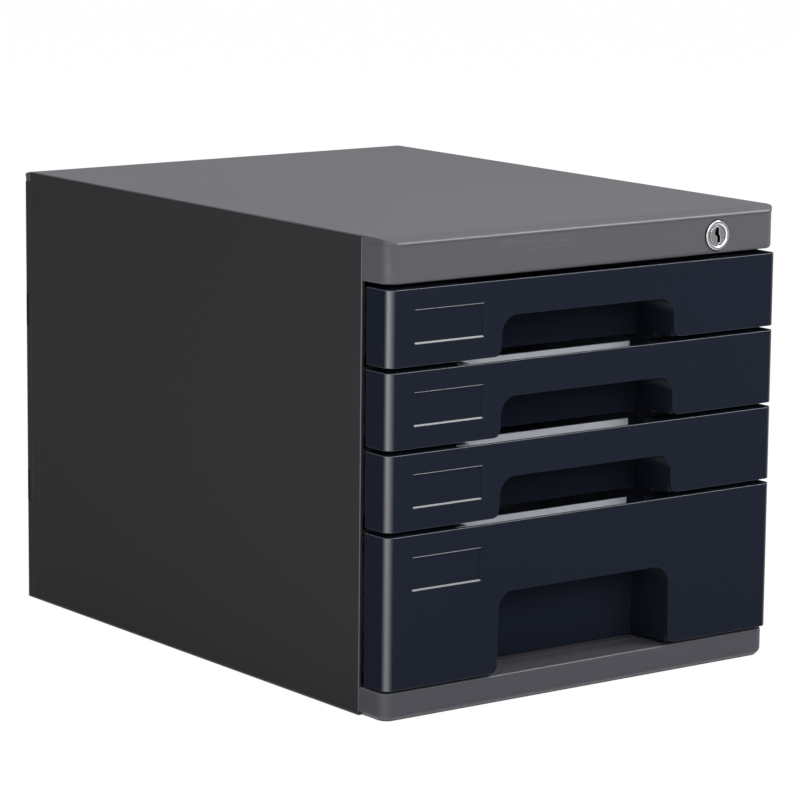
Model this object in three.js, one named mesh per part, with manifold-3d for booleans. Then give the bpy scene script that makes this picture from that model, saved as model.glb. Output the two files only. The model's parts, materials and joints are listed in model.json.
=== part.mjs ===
// Desktop file drawer: a moulded cabinet with three shallow drawers over a deep one, and one lock for all.
// Millimetres, +Z up. The front faces -Y. The origin is the middle of the footprint, on the desk's surface.

import * as THREE from "three";
import { mergeVertices } from "three/addons/utils/BufferGeometryUtils.js";
import Module from "manifold-3d";

const wasm = await Module();
wasm.setup();

// Overall
const width = 300;
const depth = 406;
const seam = 0.3; // where two mouldings meet
const overrun = 1; // how far a cut passes the face that it opens
const cornerSteps = 6; // facets in a rounded corner
const circleSteps = 24; // facets in a full circle
const rollSteps = 10; // facets in the roof's rolled edges

// Heights, from the surface up
const footHeight = 1;
const baseHeight = 17.4;
const lipGap = 1.7;
const deepFrontHeight = 91.8;
const shallowFrontHeight = 45.5;
const shallowDrawerCount = 3;
const drawerGap = 3;
const fasciaGap = 2.9;
const capHeight = 26.7;

// Where fascia, drawer fronts and base lip wrap round the side, and the back panel does
const frontReturn = 26;
const rearReturn = 10;
const rearCornerRadius = 5.5;

// Top cover
const roofWall = 2.6;
const roofEdge = 1;
const fasciaWall = 2.6;
const coverCornerRadius = 6.5;
const fasciaEdgeRadius = 2;
const rollHeight = 3.9;
const rollDepth = 12;
const rearRollDepth = 9;
const rearRollHeight = 6;
const rollSetback = 0.6;
const rollStep = 0.6;
const rearSkirtHeight = 6.5;
const gussetWall = 1.6;
const gussetReach = 12;
const gussetFoot = 3;
const gussetSpacing = 34;

// Side panels, with the ledges that the trays run on
const sideWall = 2.6;
const sideFrontRadius = 0.8;
const ledgeWall = 2.2;
const ledgeReach = 9.5;
const guideWall = 1.8;
const guideHeight = 4;
const guideGap = 0.6;
const topLedgeGap = 0.9;
const stopWall = 2.5;
const stopGap = 2;

// Back panel
const backWall = 2.6;
const backRibWall = 1.6;
const backRibHeight = 2.5;
const backRibCount = 7;
const windowLength = 22;
const windowWidth = 3.6;
const windowHeightShares = [0.268, 0.694];
const tongueWall = 2;
const tongueMargin = 3;
const nubDepth = 2;

// Base plate, and the lip in front of it
const baseWall = 2.6;
const baseEdge = 1.3;
const lipWall = 2.4;
const lipSetback = 1.5;
const lipCornerRadius = 9;
const lipTopRadius = 1.2;
const lipBottomRadius = 5;
const lipRibWall = 1.6;
const lipRibCount = 8;
const stepGap = 3.4;
const stepDepth = 12;
const upstandWall = 1.6;
const upstandHeight = 8;
const upstandInset = 12.4;
const crossRibHeight = 4;
const crossRibCount = 4;

// Feet and the screws that hold the side panels down
const footRadius = 8;
const footRecess = 0.8;
const footInsetX = 30;
const footInsetY = 42;
const footBevel = 0.4;
const screwHeadRadius = 3;
const screwHeadHeight = 1.2;
const screwShankRadius = 1.5;
const screwLength = 11;
const screwRecess = 0.3;
const bossWall = 2.4;
const screwInsetFront = 72;
const screwInsetRear = 40;

// Drawer fronts
const frontInset = 0.4;
const returnReveal = 4; // how far the returns stop short of the side panels
const frontWall = 2.5;
const flangeWall = 2.2;
const frontCornerRadius = 6;
const frontEdgeRadius = 1;
const handleHalfWidth = 67;
const handleDraft = 0.6;
const shallowHandleHeight = 24.3;
const deepHandleHeight = 49.4;
const handleRadius = 11;
const handleFlare = 5;
const pocketDepth = 36;
const linerWall = 2;
const webWall = 1.6;
const webRise = 9;
const webCount = 3;
const labelWidth = 50.7;
const labelHeight = 19.8;
const labelInset = 19.2;
const deepLabelDrop = 13.8;
const labelDepth = 0.8;
const labelLedge = 1.3;

// Trays
const traySideGap = 14.5;
const trayWall = 1.8;
const deepTrayDrop = 6;
const shallowTrayDrop = 4.5;
const trayCornerRadius = 4;
const rimWidth = 1.5;
const rimHeight = 3;
const slideOver = 0.5;
const runGap = 0.3;
const trayRearGap = 6;
const clipInset = 46;
const clipHalfWidth = 6;
const clipHeight = 14;
const clipReach = 16;
const drawerTravel = 255;
const lugWidth = 7.5;
const lugLength = 6;
const lugHeight = 10;
const lugRise = 16;

// Lock
const lockInset = 49.4;
const lockDrop = 15.3;
const bezelRadius = 9.2;
const bezelBevel = 0.7;
const barrelRadius = 7.9;
const barrelLength = 24;
const plugFaceRadius = 6.3;
const plugFaceWall = 1.6;
const plugFaceRecess = 0.6;
const plugRadius = 5.5;
const tailWidth = 5;
const keywayHeight = 8.4;
const keywayWidth = 1.8;
const keywayDepth = 14;
const nutSides = 6;
const nutRadius = 11;
const nutWall = 3;
const camWall = 2;
const camHubRadius = 6.5;
const camPinRadius = 1.75;
const camPinOrbit = 8.5;
const camTipRadius = 3.6;
const camRestAngle = -Math.PI / 4;
const camScrewHeadRadius = 3.4;
const camScrewHeadHeight = 1.8;
const camScrewShankRadius = 1.3;
const camScrewLength = 8;

// Lock bar: an angle strip that slides in the right-hand ledges
const barWall = 2.4;
const barSideWall = 2.3;
const barGap = 1.3;
const barDepth = 14;
const barSetback = 4;
const barFootGap = 1;
const armHeight = 11;
const armEnd = 3;
const slotGap = 0.6;
const catchRise = 12;
const catchHeight = 8;
const catchLength = 6;
const catchGap = 0.8;

// Places worked out from the sizes
const right = width / 2;
const front = -depth / 2;
const back = depth / 2;
const lipTop = footHeight + baseHeight;
const plateTop = footHeight + baseWall;
const panelBottom = footHeight + baseEdge + seam;
const panelFront = front + frontReturn + seam;
const panelBack = back - rearReturn - seam;
const panelInner = right - sideWall;
const trayHalfWidth = right - traySideGap;
const ledgeInner = trayHalfWidth - ledgeReach;
const frontPieceBack = front + frontReturn - returnReveal;
const trayFront = front + frontReturn;
const clipOffset = right - clipInset;
const trayRear = back - backWall - backRibHeight - trayRearGap;
const linerBack = front + pocketDepth + linerWall;
const notchBack = linerBack + seam;
const notchHalfWidth = handleHalfWidth + linerWall + seam;
const fasciaFace = front + rollSetback + rollStep;
const fasciaInner = fasciaFace + fasciaWall;
const lockX = right - lockInset;
const camFront = front + barrelLength + seam;
const camBack = camFront + camWall;
const barOuter = panelInner - seam;
const barInner = trayHalfWidth + rimWidth + barGap;
const barFront = camBack + barSetback;
const barBack = barFront + barDepth;
const stopFront = barBack + stopGap;
const stopBack = stopFront + stopWall;
const lugFront = stopBack + slideOver + drawerTravel;
const catchFront = barFront + barWall + catchGap;
const catchOuter = barOuter - barSideWall - catchGap;

// The stack of drawers. Each knows the level of what lies under it, which its tray passes over.
function stackDrawers() {
  const heights = [deepFrontHeight];
  for (let index = 0; index < shallowDrawerCount; index += 1) heights.push(shallowFrontHeight);
  const stack = [];
  let below = lipTop;
  let bottom = lipTop + lipGap;
  heights.forEach((frontHeight, index) => {
    const top = bottom + frontHeight;
    const deep = index === 0;
    stack.push({
      number: heights.length - index,
      bottom,
      top,
      trayBottom: below + slideOver,
      trayTop: top - (deep ? deepTrayDrop : shallowTrayDrop),
      ledgeTop: below + slideOver - runGap,
      handleTop: bottom + (deep ? deepHandleHeight : shallowHandleHeight),
      labelTop: top - (deep ? deepLabelDrop : (shallowFrontHeight - labelHeight) / 2),
    });
    below = top;
    bottom = top + drawerGap;
  });
  return stack;
}

const drawers = stackDrawers();
const topDrawer = drawers[drawers.length - 1];
const capBottom = topDrawer.top + fasciaGap;
const height = capBottom + capHeight;
const rollBottom = height - rollHeight;
const lockZ = height - lockDrop;
const topLedgeBottom = topDrawer.trayTop + topLedgeGap;
const backPanelTop = height - rearSkirtHeight - seam;

// A closed geometry as a solid, and a solid as a geometry
function solidOf(geometry) {
  geometry.deleteAttribute("normal");
  geometry.deleteAttribute("uv");
  const merged = mergeVertices(geometry);
  return new wasm.Manifold(new wasm.Mesh({
    numProp: 3,
    vertProperties: new Float32Array(merged.attributes.position.array),
    triVerts: new Uint32Array(merged.index.array),
  }));
}

function geometryOf(solid) {
  const { vertProperties, triVerts } = solid.getMesh();
  const geometry = new THREE.BufferGeometry();
  geometry.setAttribute("position", new THREE.BufferAttribute(vertProperties, 3));
  geometry.setIndex(new THREE.BufferAttribute(triVerts, 1));
  geometry.computeVertexNormals();
  return geometry;
}

function join(...solids) {
  return solids.reduce((whole, next) => whole.add(next));
}

function cut(body, ...tools) {
  return tools.reduce((rest, tool) => rest.subtract(tool), body);
}

// An outline through corners [u, v, radius], each rounded by its own radius
function outline(corners, steps = cornerSteps) {
  const points = [];
  corners.forEach(([u, v, radius = 0], index) => {
    const here = new THREE.Vector2(u, v);
    if (radius <= 0) {
      points.push(here);
      return;
    }
    const [previousU, previousV] = corners.at(index - 1);
    const [nextU, nextV] = corners[(index + 1) % corners.length];
    const toPrevious = new THREE.Vector2(previousU, previousV).sub(here).normalize();
    const toNext = new THREE.Vector2(nextU, nextV).sub(here).normalize();
    const half = Math.acos(toPrevious.dot(toNext)) / 2;
    const middle = toPrevious.clone().add(toNext).normalize();
    const centre = here.clone().addScaledVector(middle, radius / Math.sin(half));
    const start = here.clone().addScaledVector(toPrevious, radius / Math.tan(half)).sub(centre).angle();
    const end = here.clone().addScaledVector(toNext, radius / Math.tan(half)).sub(centre).angle();
    const sweep = Math.atan2(Math.sin(end - start), Math.cos(end - start));
    for (let step = 0; step <= steps; step += 1) {
      const angle = start + (sweep * step) / steps;
      points.push(new THREE.Vector2(Math.cos(angle), Math.sin(angle)).multiplyScalar(radius).add(centre));
    }
  });
  return new THREE.Shape(points);
}

function pointAround(u, v, radius, angle) {
  return new THREE.Vector2(u + radius * Math.cos(angle), v + radius * Math.sin(angle));
}

function circle(u, v, radius, steps = circleSteps) {
  const points = [];
  for (let step = 0; step < steps; step += 1) {
    const angle = (2 * Math.PI * step) / steps;
    points.push(pointAround(u, v, radius, angle));
  }
  return new THREE.Shape(points);
}

// A slot with round ends, long in v
function obround(u, v, halfWidth, halfLength) {
  const low = v - halfLength;
  const high = v + halfLength;
  const corners = [
    [u - halfWidth, low, halfWidth], [u + halfWidth, low, halfWidth],
    [u + halfWidth, high, halfWidth], [u - halfWidth, high, halfWidth],
  ];
  return outline(corners);
}

// An outline drawn out along one axis. Its u and v are x and y along z, x and z along y, y and z along x.
const alongY = new THREE.Matrix4().makeBasis(
  new THREE.Vector3(1, 0, 0), new THREE.Vector3(0, 0, 1), new THREE.Vector3(0, -1, 0));
const alongX = new THREE.Matrix4().makeBasis(
  new THREE.Vector3(0, 1, 0), new THREE.Vector3(0, 0, 1), new THREE.Vector3(1, 0, 0));

function prism(shape, axis, from, to) {
  const low = Math.min(from, to);
  const high = Math.max(from, to);
  const geometry = new THREE.ExtrudeGeometry(shape, { depth: high - low, bevelEnabled: false });
  if (axis === "z") geometry.translate(0, 0, low);
  if (axis === "y") geometry.applyMatrix4(alongY).translate(0, high, 0);
  if (axis === "x") geometry.applyMatrix4(alongX).translate(low, 0, 0);
  return solidOf(geometry);
}

function block(xs, ys, zs) {
  const size = [xs, ys, zs].map(([from, to]) => Math.abs(to - from));
  const middle = [xs, ys, zs].map(([from, to]) => (from + to) / 2);
  return solidOf(new THREE.BoxGeometry(...size).translate(...middle));
}

// A profile of [radius, height] points turned about an upright or a front-to-back axis
function turned(profile, axis, place) {
  const points = profile.map(([radius, along]) => new THREE.Vector2(radius, along));
  const geometry = new THREE.LatheGeometry(points, circleSteps);
  if (axis === "z") geometry.rotateX(Math.PI / 2);
  return solidOf(geometry.translate(...place));
}

// The cover's outline seen from above, drawn in by an inset
function coverPlan(inset) {
  const x = right - inset;
  const near = front + rollSetback + inset;
  const far = back - inset;
  const nearRadius = coverCornerRadius - inset;
  const farRadius = rearCornerRadius - inset;
  return outline([[-x, near, nearRadius], [x, near, nearRadius], [x, far, farRadius], [-x, far, farRadius]]);
}

// The cover's profile from the side: its front and rear edges roll down along flat ellipses. The inner one
// is inset from the outer one by the skirt's wall, and dropped by the roof's.
function rolledProfile(inset, drop) {
  const near = front + rollSetback;
  const low = capBottom - overrun;
  const rearLevel = height - rearRollHeight;
  const rearY = back - rearRollDepth;
  const frontY = near + rollDepth;
  const shape = new THREE.Shape();
  shape.moveTo(near + inset, low);
  shape.lineTo(back - inset, low);
  shape.lineTo(back - inset, rearLevel);
  shape.absellipse(rearY, rearLevel, rearRollDepth - inset, rearRollHeight - drop, 0, Math.PI / 2, false);
  shape.absellipse(frontY, rollBottom, rollDepth - inset, rollHeight - drop, Math.PI / 2, Math.PI, false);
  return new THREE.Shape(shape.extractPoints(rollSteps).shape);
}

// The gussets' places across the cover: evenly from the left, then one on each side of the lock
function gussetPlaces() {
  const wall = right - rollStep - fasciaWall;
  const lastX = lockX - gussetSpacing / 2;
  const gaps = Math.ceil((lastX + wall) / gussetSpacing);
  const places = [lockX + gussetSpacing / 2];
  for (let index = 1; index <= gaps; index += 1) places.push(-wall + ((lastX + wall) * index) / gaps);
  return places;
}

function topCover() {
  const slab = prism(coverPlan(0), "z", rollBottom, height);
  const roll = prism(rolledProfile(0, 0), "x", -right, right);
  const fascia = outline([
    [fasciaFace, capBottom, fasciaEdgeRadius], [back, capBottom], [back, height], [fasciaFace, height],
  ]);
  const skirt = prism(coverPlan(rollStep), "z", capBottom, rollBottom + overrun / 2)
    .intersect(prism(fascia, "x", -right, right));
  const innerRoll = prism(rolledProfile(rollStep + fasciaWall, roofWall), "x", -right, right);
  const hollow = prism(coverPlan(rollStep + fasciaWall), "z", capBottom - overrun, height - roofWall)
    .intersect(innerRoll);
  const behindReturns = block(
    [-right - overrun, right + overrun], [front + frontReturn, back - rearReturn],
    [capBottom - overrun, height - roofWall]);
  const underSkirt = block(
    [-right - overrun, right + overrun], [back - rearReturn - overrun, back + overrun],
    [capBottom - overrun, height - rearSkirtHeight]);
  const lockHole = prism(
    circle(lockX, lockZ, barrelRadius + seam), "y", front - overrun, fasciaInner + overrun);
  const rebates = [-1, 1].map((side) => block(
    [side * (panelInner - seam), side * (right + overrun)],
    [front + frontReturn, back - rearReturn], [height - roofWall - overrun, height - roofEdge]));
  const gussetShape = new THREE.Shape([
    new THREE.Vector2(fasciaInner - fasciaWall / 2, capBottom + gussetFoot),
    new THREE.Vector2(fasciaInner + gussetWall, capBottom + gussetFoot),
    new THREE.Vector2(fasciaInner + gussetReach, height - roofWall / 2),
    new THREE.Vector2(fasciaInner - fasciaWall / 2, height - roofWall / 2),
  ]);
  const gussets = gussetPlaces().map((x) => prism(gussetShape, "x", x - gussetWall / 2, x + gussetWall / 2));
  const shell = cut(join(slab, skirt), hollow, behindReturns, underSkirt, ...rebates);
  return cut(join(shell, ...gussets).intersect(roll), lockHole);
}

// One ledge as it is met going down the panel's inner face: with a guide beside the tray, or plain
function ledgeCorners(side, top, bottom, guided) {
  const guideInner = trayHalfWidth + guideGap;
  const guideOuter = guideInner + guideWall;
  const guide = [
    [side * guideOuter, top], [side * guideOuter, top + guideHeight],
    [side * guideInner, top + guideHeight], [side * guideInner, top],
  ];
  return [
    [side * panelInner, top], ...(guided ? guide : []),
    [side * ledgeInner, top], [side * ledgeInner, bottom], [side * panelInner, bottom],
  ];
}

// The pair of screws in each side panel, front and rear
const screwX = panelInner - bossWall - screwShankRadius - seam + bossWall / 2;
const screwYs = [front + screwInsetFront, back - screwInsetRear];

function windowLevels() {
  return windowHeightShares.map((share) => panelBottom + (backPanelTop - panelBottom) * share);
}

function sidePanel(side) {
  const panelTop = height - roofEdge - seam;
  const comb = [[side * right, panelBottom], [side * right, panelTop], [side * panelInner, panelTop]];
  comb.push(...ledgeCorners(side, topLedgeBottom + ledgeWall, topLedgeBottom, false));
  [...drawers].reverse().forEach(({ ledgeTop }) => {
    comb.push(...ledgeCorners(side, ledgeTop, ledgeTop - ledgeWall, true));
  });
  comb.push([side * panelInner, panelBottom]);
  const plan = outline([
    [side * ledgeInner, panelFront, sideFrontRadius], [side * right, panelFront, sideFrontRadius],
    [side * right, panelBack], [side * ledgeInner, panelBack],
  ]);
  let panel = prism(outline(comb), "y", panelFront, panelBack)
    .intersect(prism(plan, "z", panelBottom, panelTop));

  // Upright ribs that stop the lugs on the trays
  const ceilings = [...drawers.slice(1).map(({ ledgeTop }) => ledgeTop - ledgeWall), topLedgeBottom];
  const stopInner = trayHalfWidth + lugWidth / 2;
  const stops = drawers.map(({ ledgeTop }, index) => block(
    [side * stopInner, side * (panelInner + sideWall / 2)], [stopFront, stopBack],
    [ledgeTop - ledgeWall / 2, ceilings[index] + ledgeWall / 2]));

  // Bosses for the screws that come up through the base
  const lowestLedge = drawers[0].ledgeTop - ledgeWall / 2;
  const bossRadius = screwShankRadius + seam + bossWall;
  const pilotTop = footHeight + screwRecess + screwLength + seam;
  const bosses = screwYs.map((y) => prism(
    circle(side * screwX, y, bossRadius), "z", plateTop + seam, lowestLedge));
  const pilots = screwYs.map((y) => prism(
    circle(side * screwX, y, screwShankRadius + seam), "z", plateTop, pilotTop));

  // Tongues that reach into the back panel's return, with a nub in each of its windows
  const tongueOuter = panelInner - 2 * seam;
  const tongueInner = tongueOuter - tongueWall;
  const tongueEnd = back - rearCornerRadius + tongueMargin / 2;
  const windowY = (panelBack + seam + back - rearCornerRadius) / 2 + windowWidth / 2;
  const tongues = windowLevels().flatMap((z) => {
    const levels = [z - windowLength / 2 - tongueMargin, z + windowLength / 2 + tongueMargin];
    const nub = obround(windowY, z, windowWidth / 2 - seam, windowLength / 2 - seam);
    const tongueStart = panelBack - tongueMargin;
    return [
      block([side * tongueInner, side * (panelInner + sideWall / 2)], [tongueStart, panelBack], levels),
      block([side * tongueInner, side * tongueOuter], [tongueStart, tongueEnd], levels),
      prism(nub, "x", side * (tongueOuter - tongueWall / 2), side * (tongueOuter + nubDepth)),
    ];
  });
  panel = cut(join(panel, ...stops, ...bosses, ...tongues), ...pilots);

  // The right-hand ledges guide the lock bar
  if (side > 0) {
    panel = cut(panel, block(
      [barInner - seam, panelInner], [barFront - seam, barBack + seam],
      [drawers[0].ledgeTop - ledgeWall - overrun, topLedgeBottom + ledgeWall + overrun]));
  }
  return panel;
}

function backPanel() {
  const inner = right - backWall;
  const innerRadius = rearCornerRadius - backWall;
  const returnFront = back - rearReturn;
  const section = outline([
    [-right, returnFront], [-inner, returnFront], [-inner, back - backWall, innerRadius],
    [inner, back - backWall, innerRadius], [inner, returnFront], [right, returnFront],
    [right, back, rearCornerRadius], [-right, back, rearCornerRadius],
  ]);
  const shell = prism(section, "z", panelBottom, backPanelTop);
  const ribs = [];
  for (let index = 0; index < backRibCount; index += 1) {
    const x = ((index + 1) / (backRibCount + 1) - 1 / 2) * 2 * inner;
    ribs.push(block(
      [x - backRibWall / 2, x + backRibWall / 2],
      [back - backWall - backRibHeight, back - backWall / 2],
      [plateTop + upstandHeight, backPanelTop - rearSkirtHeight]));
  }
  const windowY = (panelBack + seam + back - rearCornerRadius) / 2 + windowWidth / 2;
  const windows = windowLevels().map((z) => prism(
    obround(windowY, z, windowWidth / 2, windowLength / 2), "x", -right - overrun, right + overrun));
  return cut(join(shell, ...ribs), ...windows);
}

// The base's outline seen from above, drawn in by an inset
function basePlan(inset) {
  const x = right - inset;
  const near = front + lipSetback + inset;
  const far = back - inset;
  const nearRadius = lipCornerRadius - inset;
  const farRadius = rearCornerRadius - inset;
  return outline([[-x, near, nearRadius], [x, near, nearRadius], [x, far, farRadius], [-x, far, farRadius]]);
}

function footPlaces() {
  const x = right - footInsetX;
  const near = front + footInsetY;
  const far = back - footInsetY;
  return { front_left: [-x, near], front_right: [x, near], rear_left: [-x, far], rear_right: [x, far] };
}

function screwPlaces() {
  const x = screwX;
  const [near, far] = screwYs;
  return { front_left: [-x, near], front_right: [x, near], rear_left: [-x, far], rear_right: [x, far] };
}

// The lip below the deep drawer: a front wall with a ledge on top, open below and to the rear
function baseLip() {
  const lipFace = front + lipSetback;
  const lipBack = front + frontReturn;
  const profile = outline([
    [lipFace, footHeight, lipBottomRadius], [lipBack, footHeight],
    [lipBack, lipTop], [lipFace, lipTop, lipTopRadius],
  ]);
  const ends = outline([
    [-right, footHeight, lipBottomRadius], [right, footHeight, lipBottomRadius],
    [right, lipTop], [-right, lipTop],
  ]);
  const outer = prism(basePlan(0), "z", footHeight, lipTop)
    .intersect(prism(profile, "x", -right, right))
    .intersect(prism(ends, "y", lipFace, lipBack));
  const hollow = prism(basePlan(lipWall), "z", footHeight - overrun, lipTop - lipWall);
  const inside = right - lipWall;
  const ribs = [];
  for (let index = 1; index <= lipRibCount; index += 1) {
    const x = (index / (lipRibCount + 1)) * 2 * inside - inside;
    ribs.push(block(
      [x - lipRibWall / 2, x + lipRibWall / 2], [lipFace + lipWall / 2, lipBack],
      [plateTop + seam, lipTop - lipWall / 2]));
  }
  return join(cut(outer, hollow), ...ribs);
}

function basePlate() {
  const lipBack = front + frontReturn;
  const behindLip = block([-right, right], [lipBack + seam, back], [footHeight, plateTop]);
  const edge = prism(basePlan(0), "z", footHeight, footHeight + baseEdge).intersect(behindLip);
  const plate = prism(basePlan(sideWall + seam), "z", footHeight, plateTop);

  // The step behind the lip, level with its ledge
  const stepFront = lipBack + stepGap;
  const stepBack = stepFront + stepDepth;
  const stepTop = lipTop - seam;
  const stepHalf = ledgeInner - seam;
  const step = prism(outline([
    [stepFront, stepTop], [stepBack, stepTop], [stepBack, plateTop - baseWall / 2],
    [stepBack - lipWall, plateTop - baseWall / 2], [stepBack - lipWall, stepTop - lipWall],
    [stepFront, stepTop - lipWall],
  ]), "x", -stepHalf, stepHalf);
  const crossRibs = [];
  const crossInside = right - upstandInset - upstandWall / 2;
  for (let index = 1; index <= crossRibCount; index += 1) {
    const y = stepBack + ((panelBack - stepBack) * index) / (crossRibCount + 1);
    crossRibs.push(block(
      [-crossInside, crossInside], [y - upstandWall / 2, y + upstandWall / 2],
      [plateTop - baseWall / 2, plateTop + crossRibHeight]));
  }
  const upstands = [-1, 1].map((side) => block(
    [side * (right - upstandInset - upstandWall), side * (right - upstandInset)],
    [lipBack + seam, panelBack], [plateTop - baseWall / 2, plateTop + upstandHeight]));
  const footHoles = Object.values(footPlaces()).map(([x, y]) => prism(
    circle(x, y, footRadius + seam), "z", footHeight - overrun, footHeight + footRecess));
  const screwHoles = Object.values(screwPlaces()).flatMap(([x, y]) => [
    prism(circle(x, y, screwHeadRadius + seam), "z",
      footHeight - overrun, footHeight + screwRecess + screwHeadHeight + seam),
    prism(circle(x, y, screwShankRadius + seam), "z", footHeight - overrun, plateTop + overrun),
  ]);
  return cut(join(edge, plate, step, ...upstands, ...crossRibs), ...footHoles, ...screwHoles);
}

function foot([x, y]) {
  const top = footHeight + footRecess - seam;
  return turned([
    [0, 0], [footRadius - footBevel, 0], [footRadius, footBevel], [footRadius, top], [0, top],
  ], "z", [x, y, 0]);
}

function baseScrew([x, y]) {
  return turned([
    [0, 0], [screwHeadRadius, 0], [screwHeadRadius, screwHeadHeight / 2],
    [screwHeadRadius / 2 + screwShankRadius / 2, screwHeadHeight], [screwShankRadius, screwHeadHeight],
    [screwShankRadius, screwLength - screwShankRadius], [0, screwLength],
  ], "z", [x, y, footHeight + screwRecess]);
}

// The handle's cut-out, seen from the front. It widens downwards, and its lower corners flare out.
function handleShape({ bottom, handleTop }, flared) {
  const floor = bottom - overrun;
  const upper = handleHalfWidth - handleDraft;
  const foot = handleHalfWidth + handleFlare + overrun;
  const side = (sign) => {
    const straight = [[sign * handleHalfWidth, floor], [sign * upper, handleTop, handleRadius]];
    const flare = [
      [sign * foot, floor], [sign * foot, bottom], [sign * handleHalfWidth, bottom, handleFlare],
      [sign * upper, handleTop, handleRadius],
    ];
    return flared ? flare : straight;
  };
  return outline([...side(-1), ...side(1).reverse()]);
}

function linerShape({ handleTop, trayBottom }) {
  const upper = handleHalfWidth - handleDraft + linerWall;
  const lower = handleHalfWidth + linerWall;
  const radius = handleRadius + linerWall;
  return outline([
    [-lower, trayBottom], [-upper, handleTop + linerWall, radius],
    [upper, handleTop + linerWall, radius], [lower, trayBottom],
  ]);
}

function drawerFront(drawer) {
  const { bottom, top, handleTop, labelTop, trayBottom } = drawer;
  const half = right - frontInset;
  const innerRadius = frontCornerRadius - frontWall;
  const plan = outline([
    [-half, frontPieceBack], [-half, front, frontCornerRadius],
    [half, front, frontCornerRadius], [half, frontPieceBack],
  ]);
  const innerPlan = outline([
    [-half + frontWall, frontPieceBack + overrun], [-half + frontWall, front + frontWall, innerRadius],
    [half - frontWall, front + frontWall, innerRadius], [half - frontWall, frontPieceBack + overrun],
  ]);
  const profile = outline([
    [front, bottom, frontEdgeRadius], [frontPieceBack, bottom],
    [frontPieceBack, top], [front, top, frontEdgeRadius],
  ], 2);
  const outer = prism(plan, "z", bottom, top).intersect(prism(profile, "x", -half, half));
  const shell = cut(outer, prism(innerPlan, "z", bottom + flangeWall, top - flangeWall));

  // The pocket behind the handle: a liner with a back, open below, and no flange over it
  const liner = prism(linerShape(drawer), "y", front + frontWall / 2, linerBack);
  const openHalf = clipOffset - clipHalfWidth - webWall - 2 * seam;
  const overLiner = block(
    [-openHalf, openHalf], [front + frontWall, frontPieceBack + overrun],
    [top - flangeWall - overrun, top + overrun]);
  const pocketSpace = { bottom: Math.min(bottom, trayBottom), handleTop };
  const pocket = prism(handleShape(pocketSpace, false), "y", front - overrun, front + pocketDepth);
  const mouth = prism(handleShape(drawer, true), "y", front - overrun, front + frontWall);
  const belowFront = block(
    [-half, half], [front - overrun, frontPieceBack], [trayBottom - overrun, bottom]);

  // Webs between the front wall and the liner's ceiling, and the pairs of ribs that take the tray's clips
  const webTop = Math.min(handleTop + linerWall + webRise, top - webRise);
  const webShape = new THREE.Shape([
    new THREE.Vector2(front + frontWall / 2, handleTop + linerWall / 2),
    new THREE.Vector2(linerBack, handleTop + linerWall / 2),
    new THREE.Vector2(front + frontWall, webTop),
    new THREE.Vector2(front + frontWall / 2, webTop),
  ]);
  const webs = [];
  for (let index = 1; index <= webCount; index += 1) {
    const x = (index / (webCount + 1)) * 2 * handleHalfWidth - handleHalfWidth;
    webs.push(prism(webShape, "x", x - webWall / 2, x + webWall / 2));
  }
  const clipRibs = [-1, 1].flatMap((side) => [-1, 1].map((hand) => {
    const near = side * clipOffset + hand * (clipHalfWidth + seam);
    return block(
      [near, near + hand * webWall], [front + frontWall / 2, frontPieceBack],
      [bottom + flangeWall / 2, top - flangeWall / 2]);
  }));

  // The label's recess, with a sloping ledge along its foot
  const labelLeft = -right + labelInset;
  const labelBottom = labelTop - labelHeight;
  const labelShape = new THREE.Shape([
    new THREE.Vector2(front - overrun, labelTop),
    new THREE.Vector2(front - overrun, labelBottom),
    new THREE.Vector2(front, labelBottom),
    new THREE.Vector2(front + labelDepth, labelBottom + labelLedge),
    new THREE.Vector2(front + labelDepth, labelTop),
  ]);
  const label = prism(labelShape, "x", labelLeft, labelLeft + labelWidth);

  const body = join(cut(shell, overLiner), cut(liner, belowFront), ...webs, ...clipRibs);
  return cut(body, pocket, mouth, label);
}

// A tray's outline seen from above, with the notch for the pocket. The rim stands out at the sides and rear.
function trayPlan(inset, rim) {
  const x = trayHalfWidth - inset + rim;
  const near = trayFront + inset;
  const notchX = notchHalfWidth + inset;
  const notchY = notchBack + inset;
  const far = trayRear - inset + rim;
  const radius = trayCornerRadius - inset + rim;
  return outline([
    [-x, near], [-notchX, near], [-notchX, notchY], [notchX, notchY], [notchX, near], [x, near],
    [x, far, radius], [-x, far, radius],
  ]);
}

function drawerTray(drawer) {
  const { bottom, top, trayBottom, trayTop } = drawer;
  const body = prism(trayPlan(0, 0), "z", trayBottom, trayTop);
  const rim = prism(trayPlan(0, rimWidth), "z", trayTop - rimHeight, trayTop);
  const inside = prism(trayPlan(trayWall, 0), "z", trayBottom + trayWall, trayTop + overrun);
  const middle = (bottom + top) / 2;
  const clips = [-1, 1].map((side) => block(
    [side * clipOffset - clipHalfWidth, side * clipOffset + clipHalfWidth],
    [trayFront - clipReach, trayFront + trayWall / 2], [middle - clipHeight / 2, middle + clipHeight / 2]));

  // Lugs that meet the panels' stops when the drawer is out, and the catch that the lock bar blocks
  const wallMiddle = trayHalfWidth - trayWall / 2;
  const lugPlan = (side) => outline([
    [side * wallMiddle, lugFront], [side * (trayHalfWidth + lugWidth), lugFront],
    [side * (trayHalfWidth + lugWidth / 2), lugFront + lugLength], [side * wallMiddle, lugFront + lugLength],
  ]);
  const lugBottom = trayBottom + lugRise;
  const lugs = [-1, 1].map((side) => prism(lugPlan(side), "z", lugBottom, lugBottom + lugHeight));
  const catchBottom = trayBottom + catchRise;
  const catchPiece = block(
    [wallMiddle, catchOuter], [catchFront, catchFront + catchLength],
    [catchBottom, catchBottom + catchHeight]);
  return join(cut(join(body, rim), inside), ...clips, ...lugs, catchPiece);
}

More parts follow.
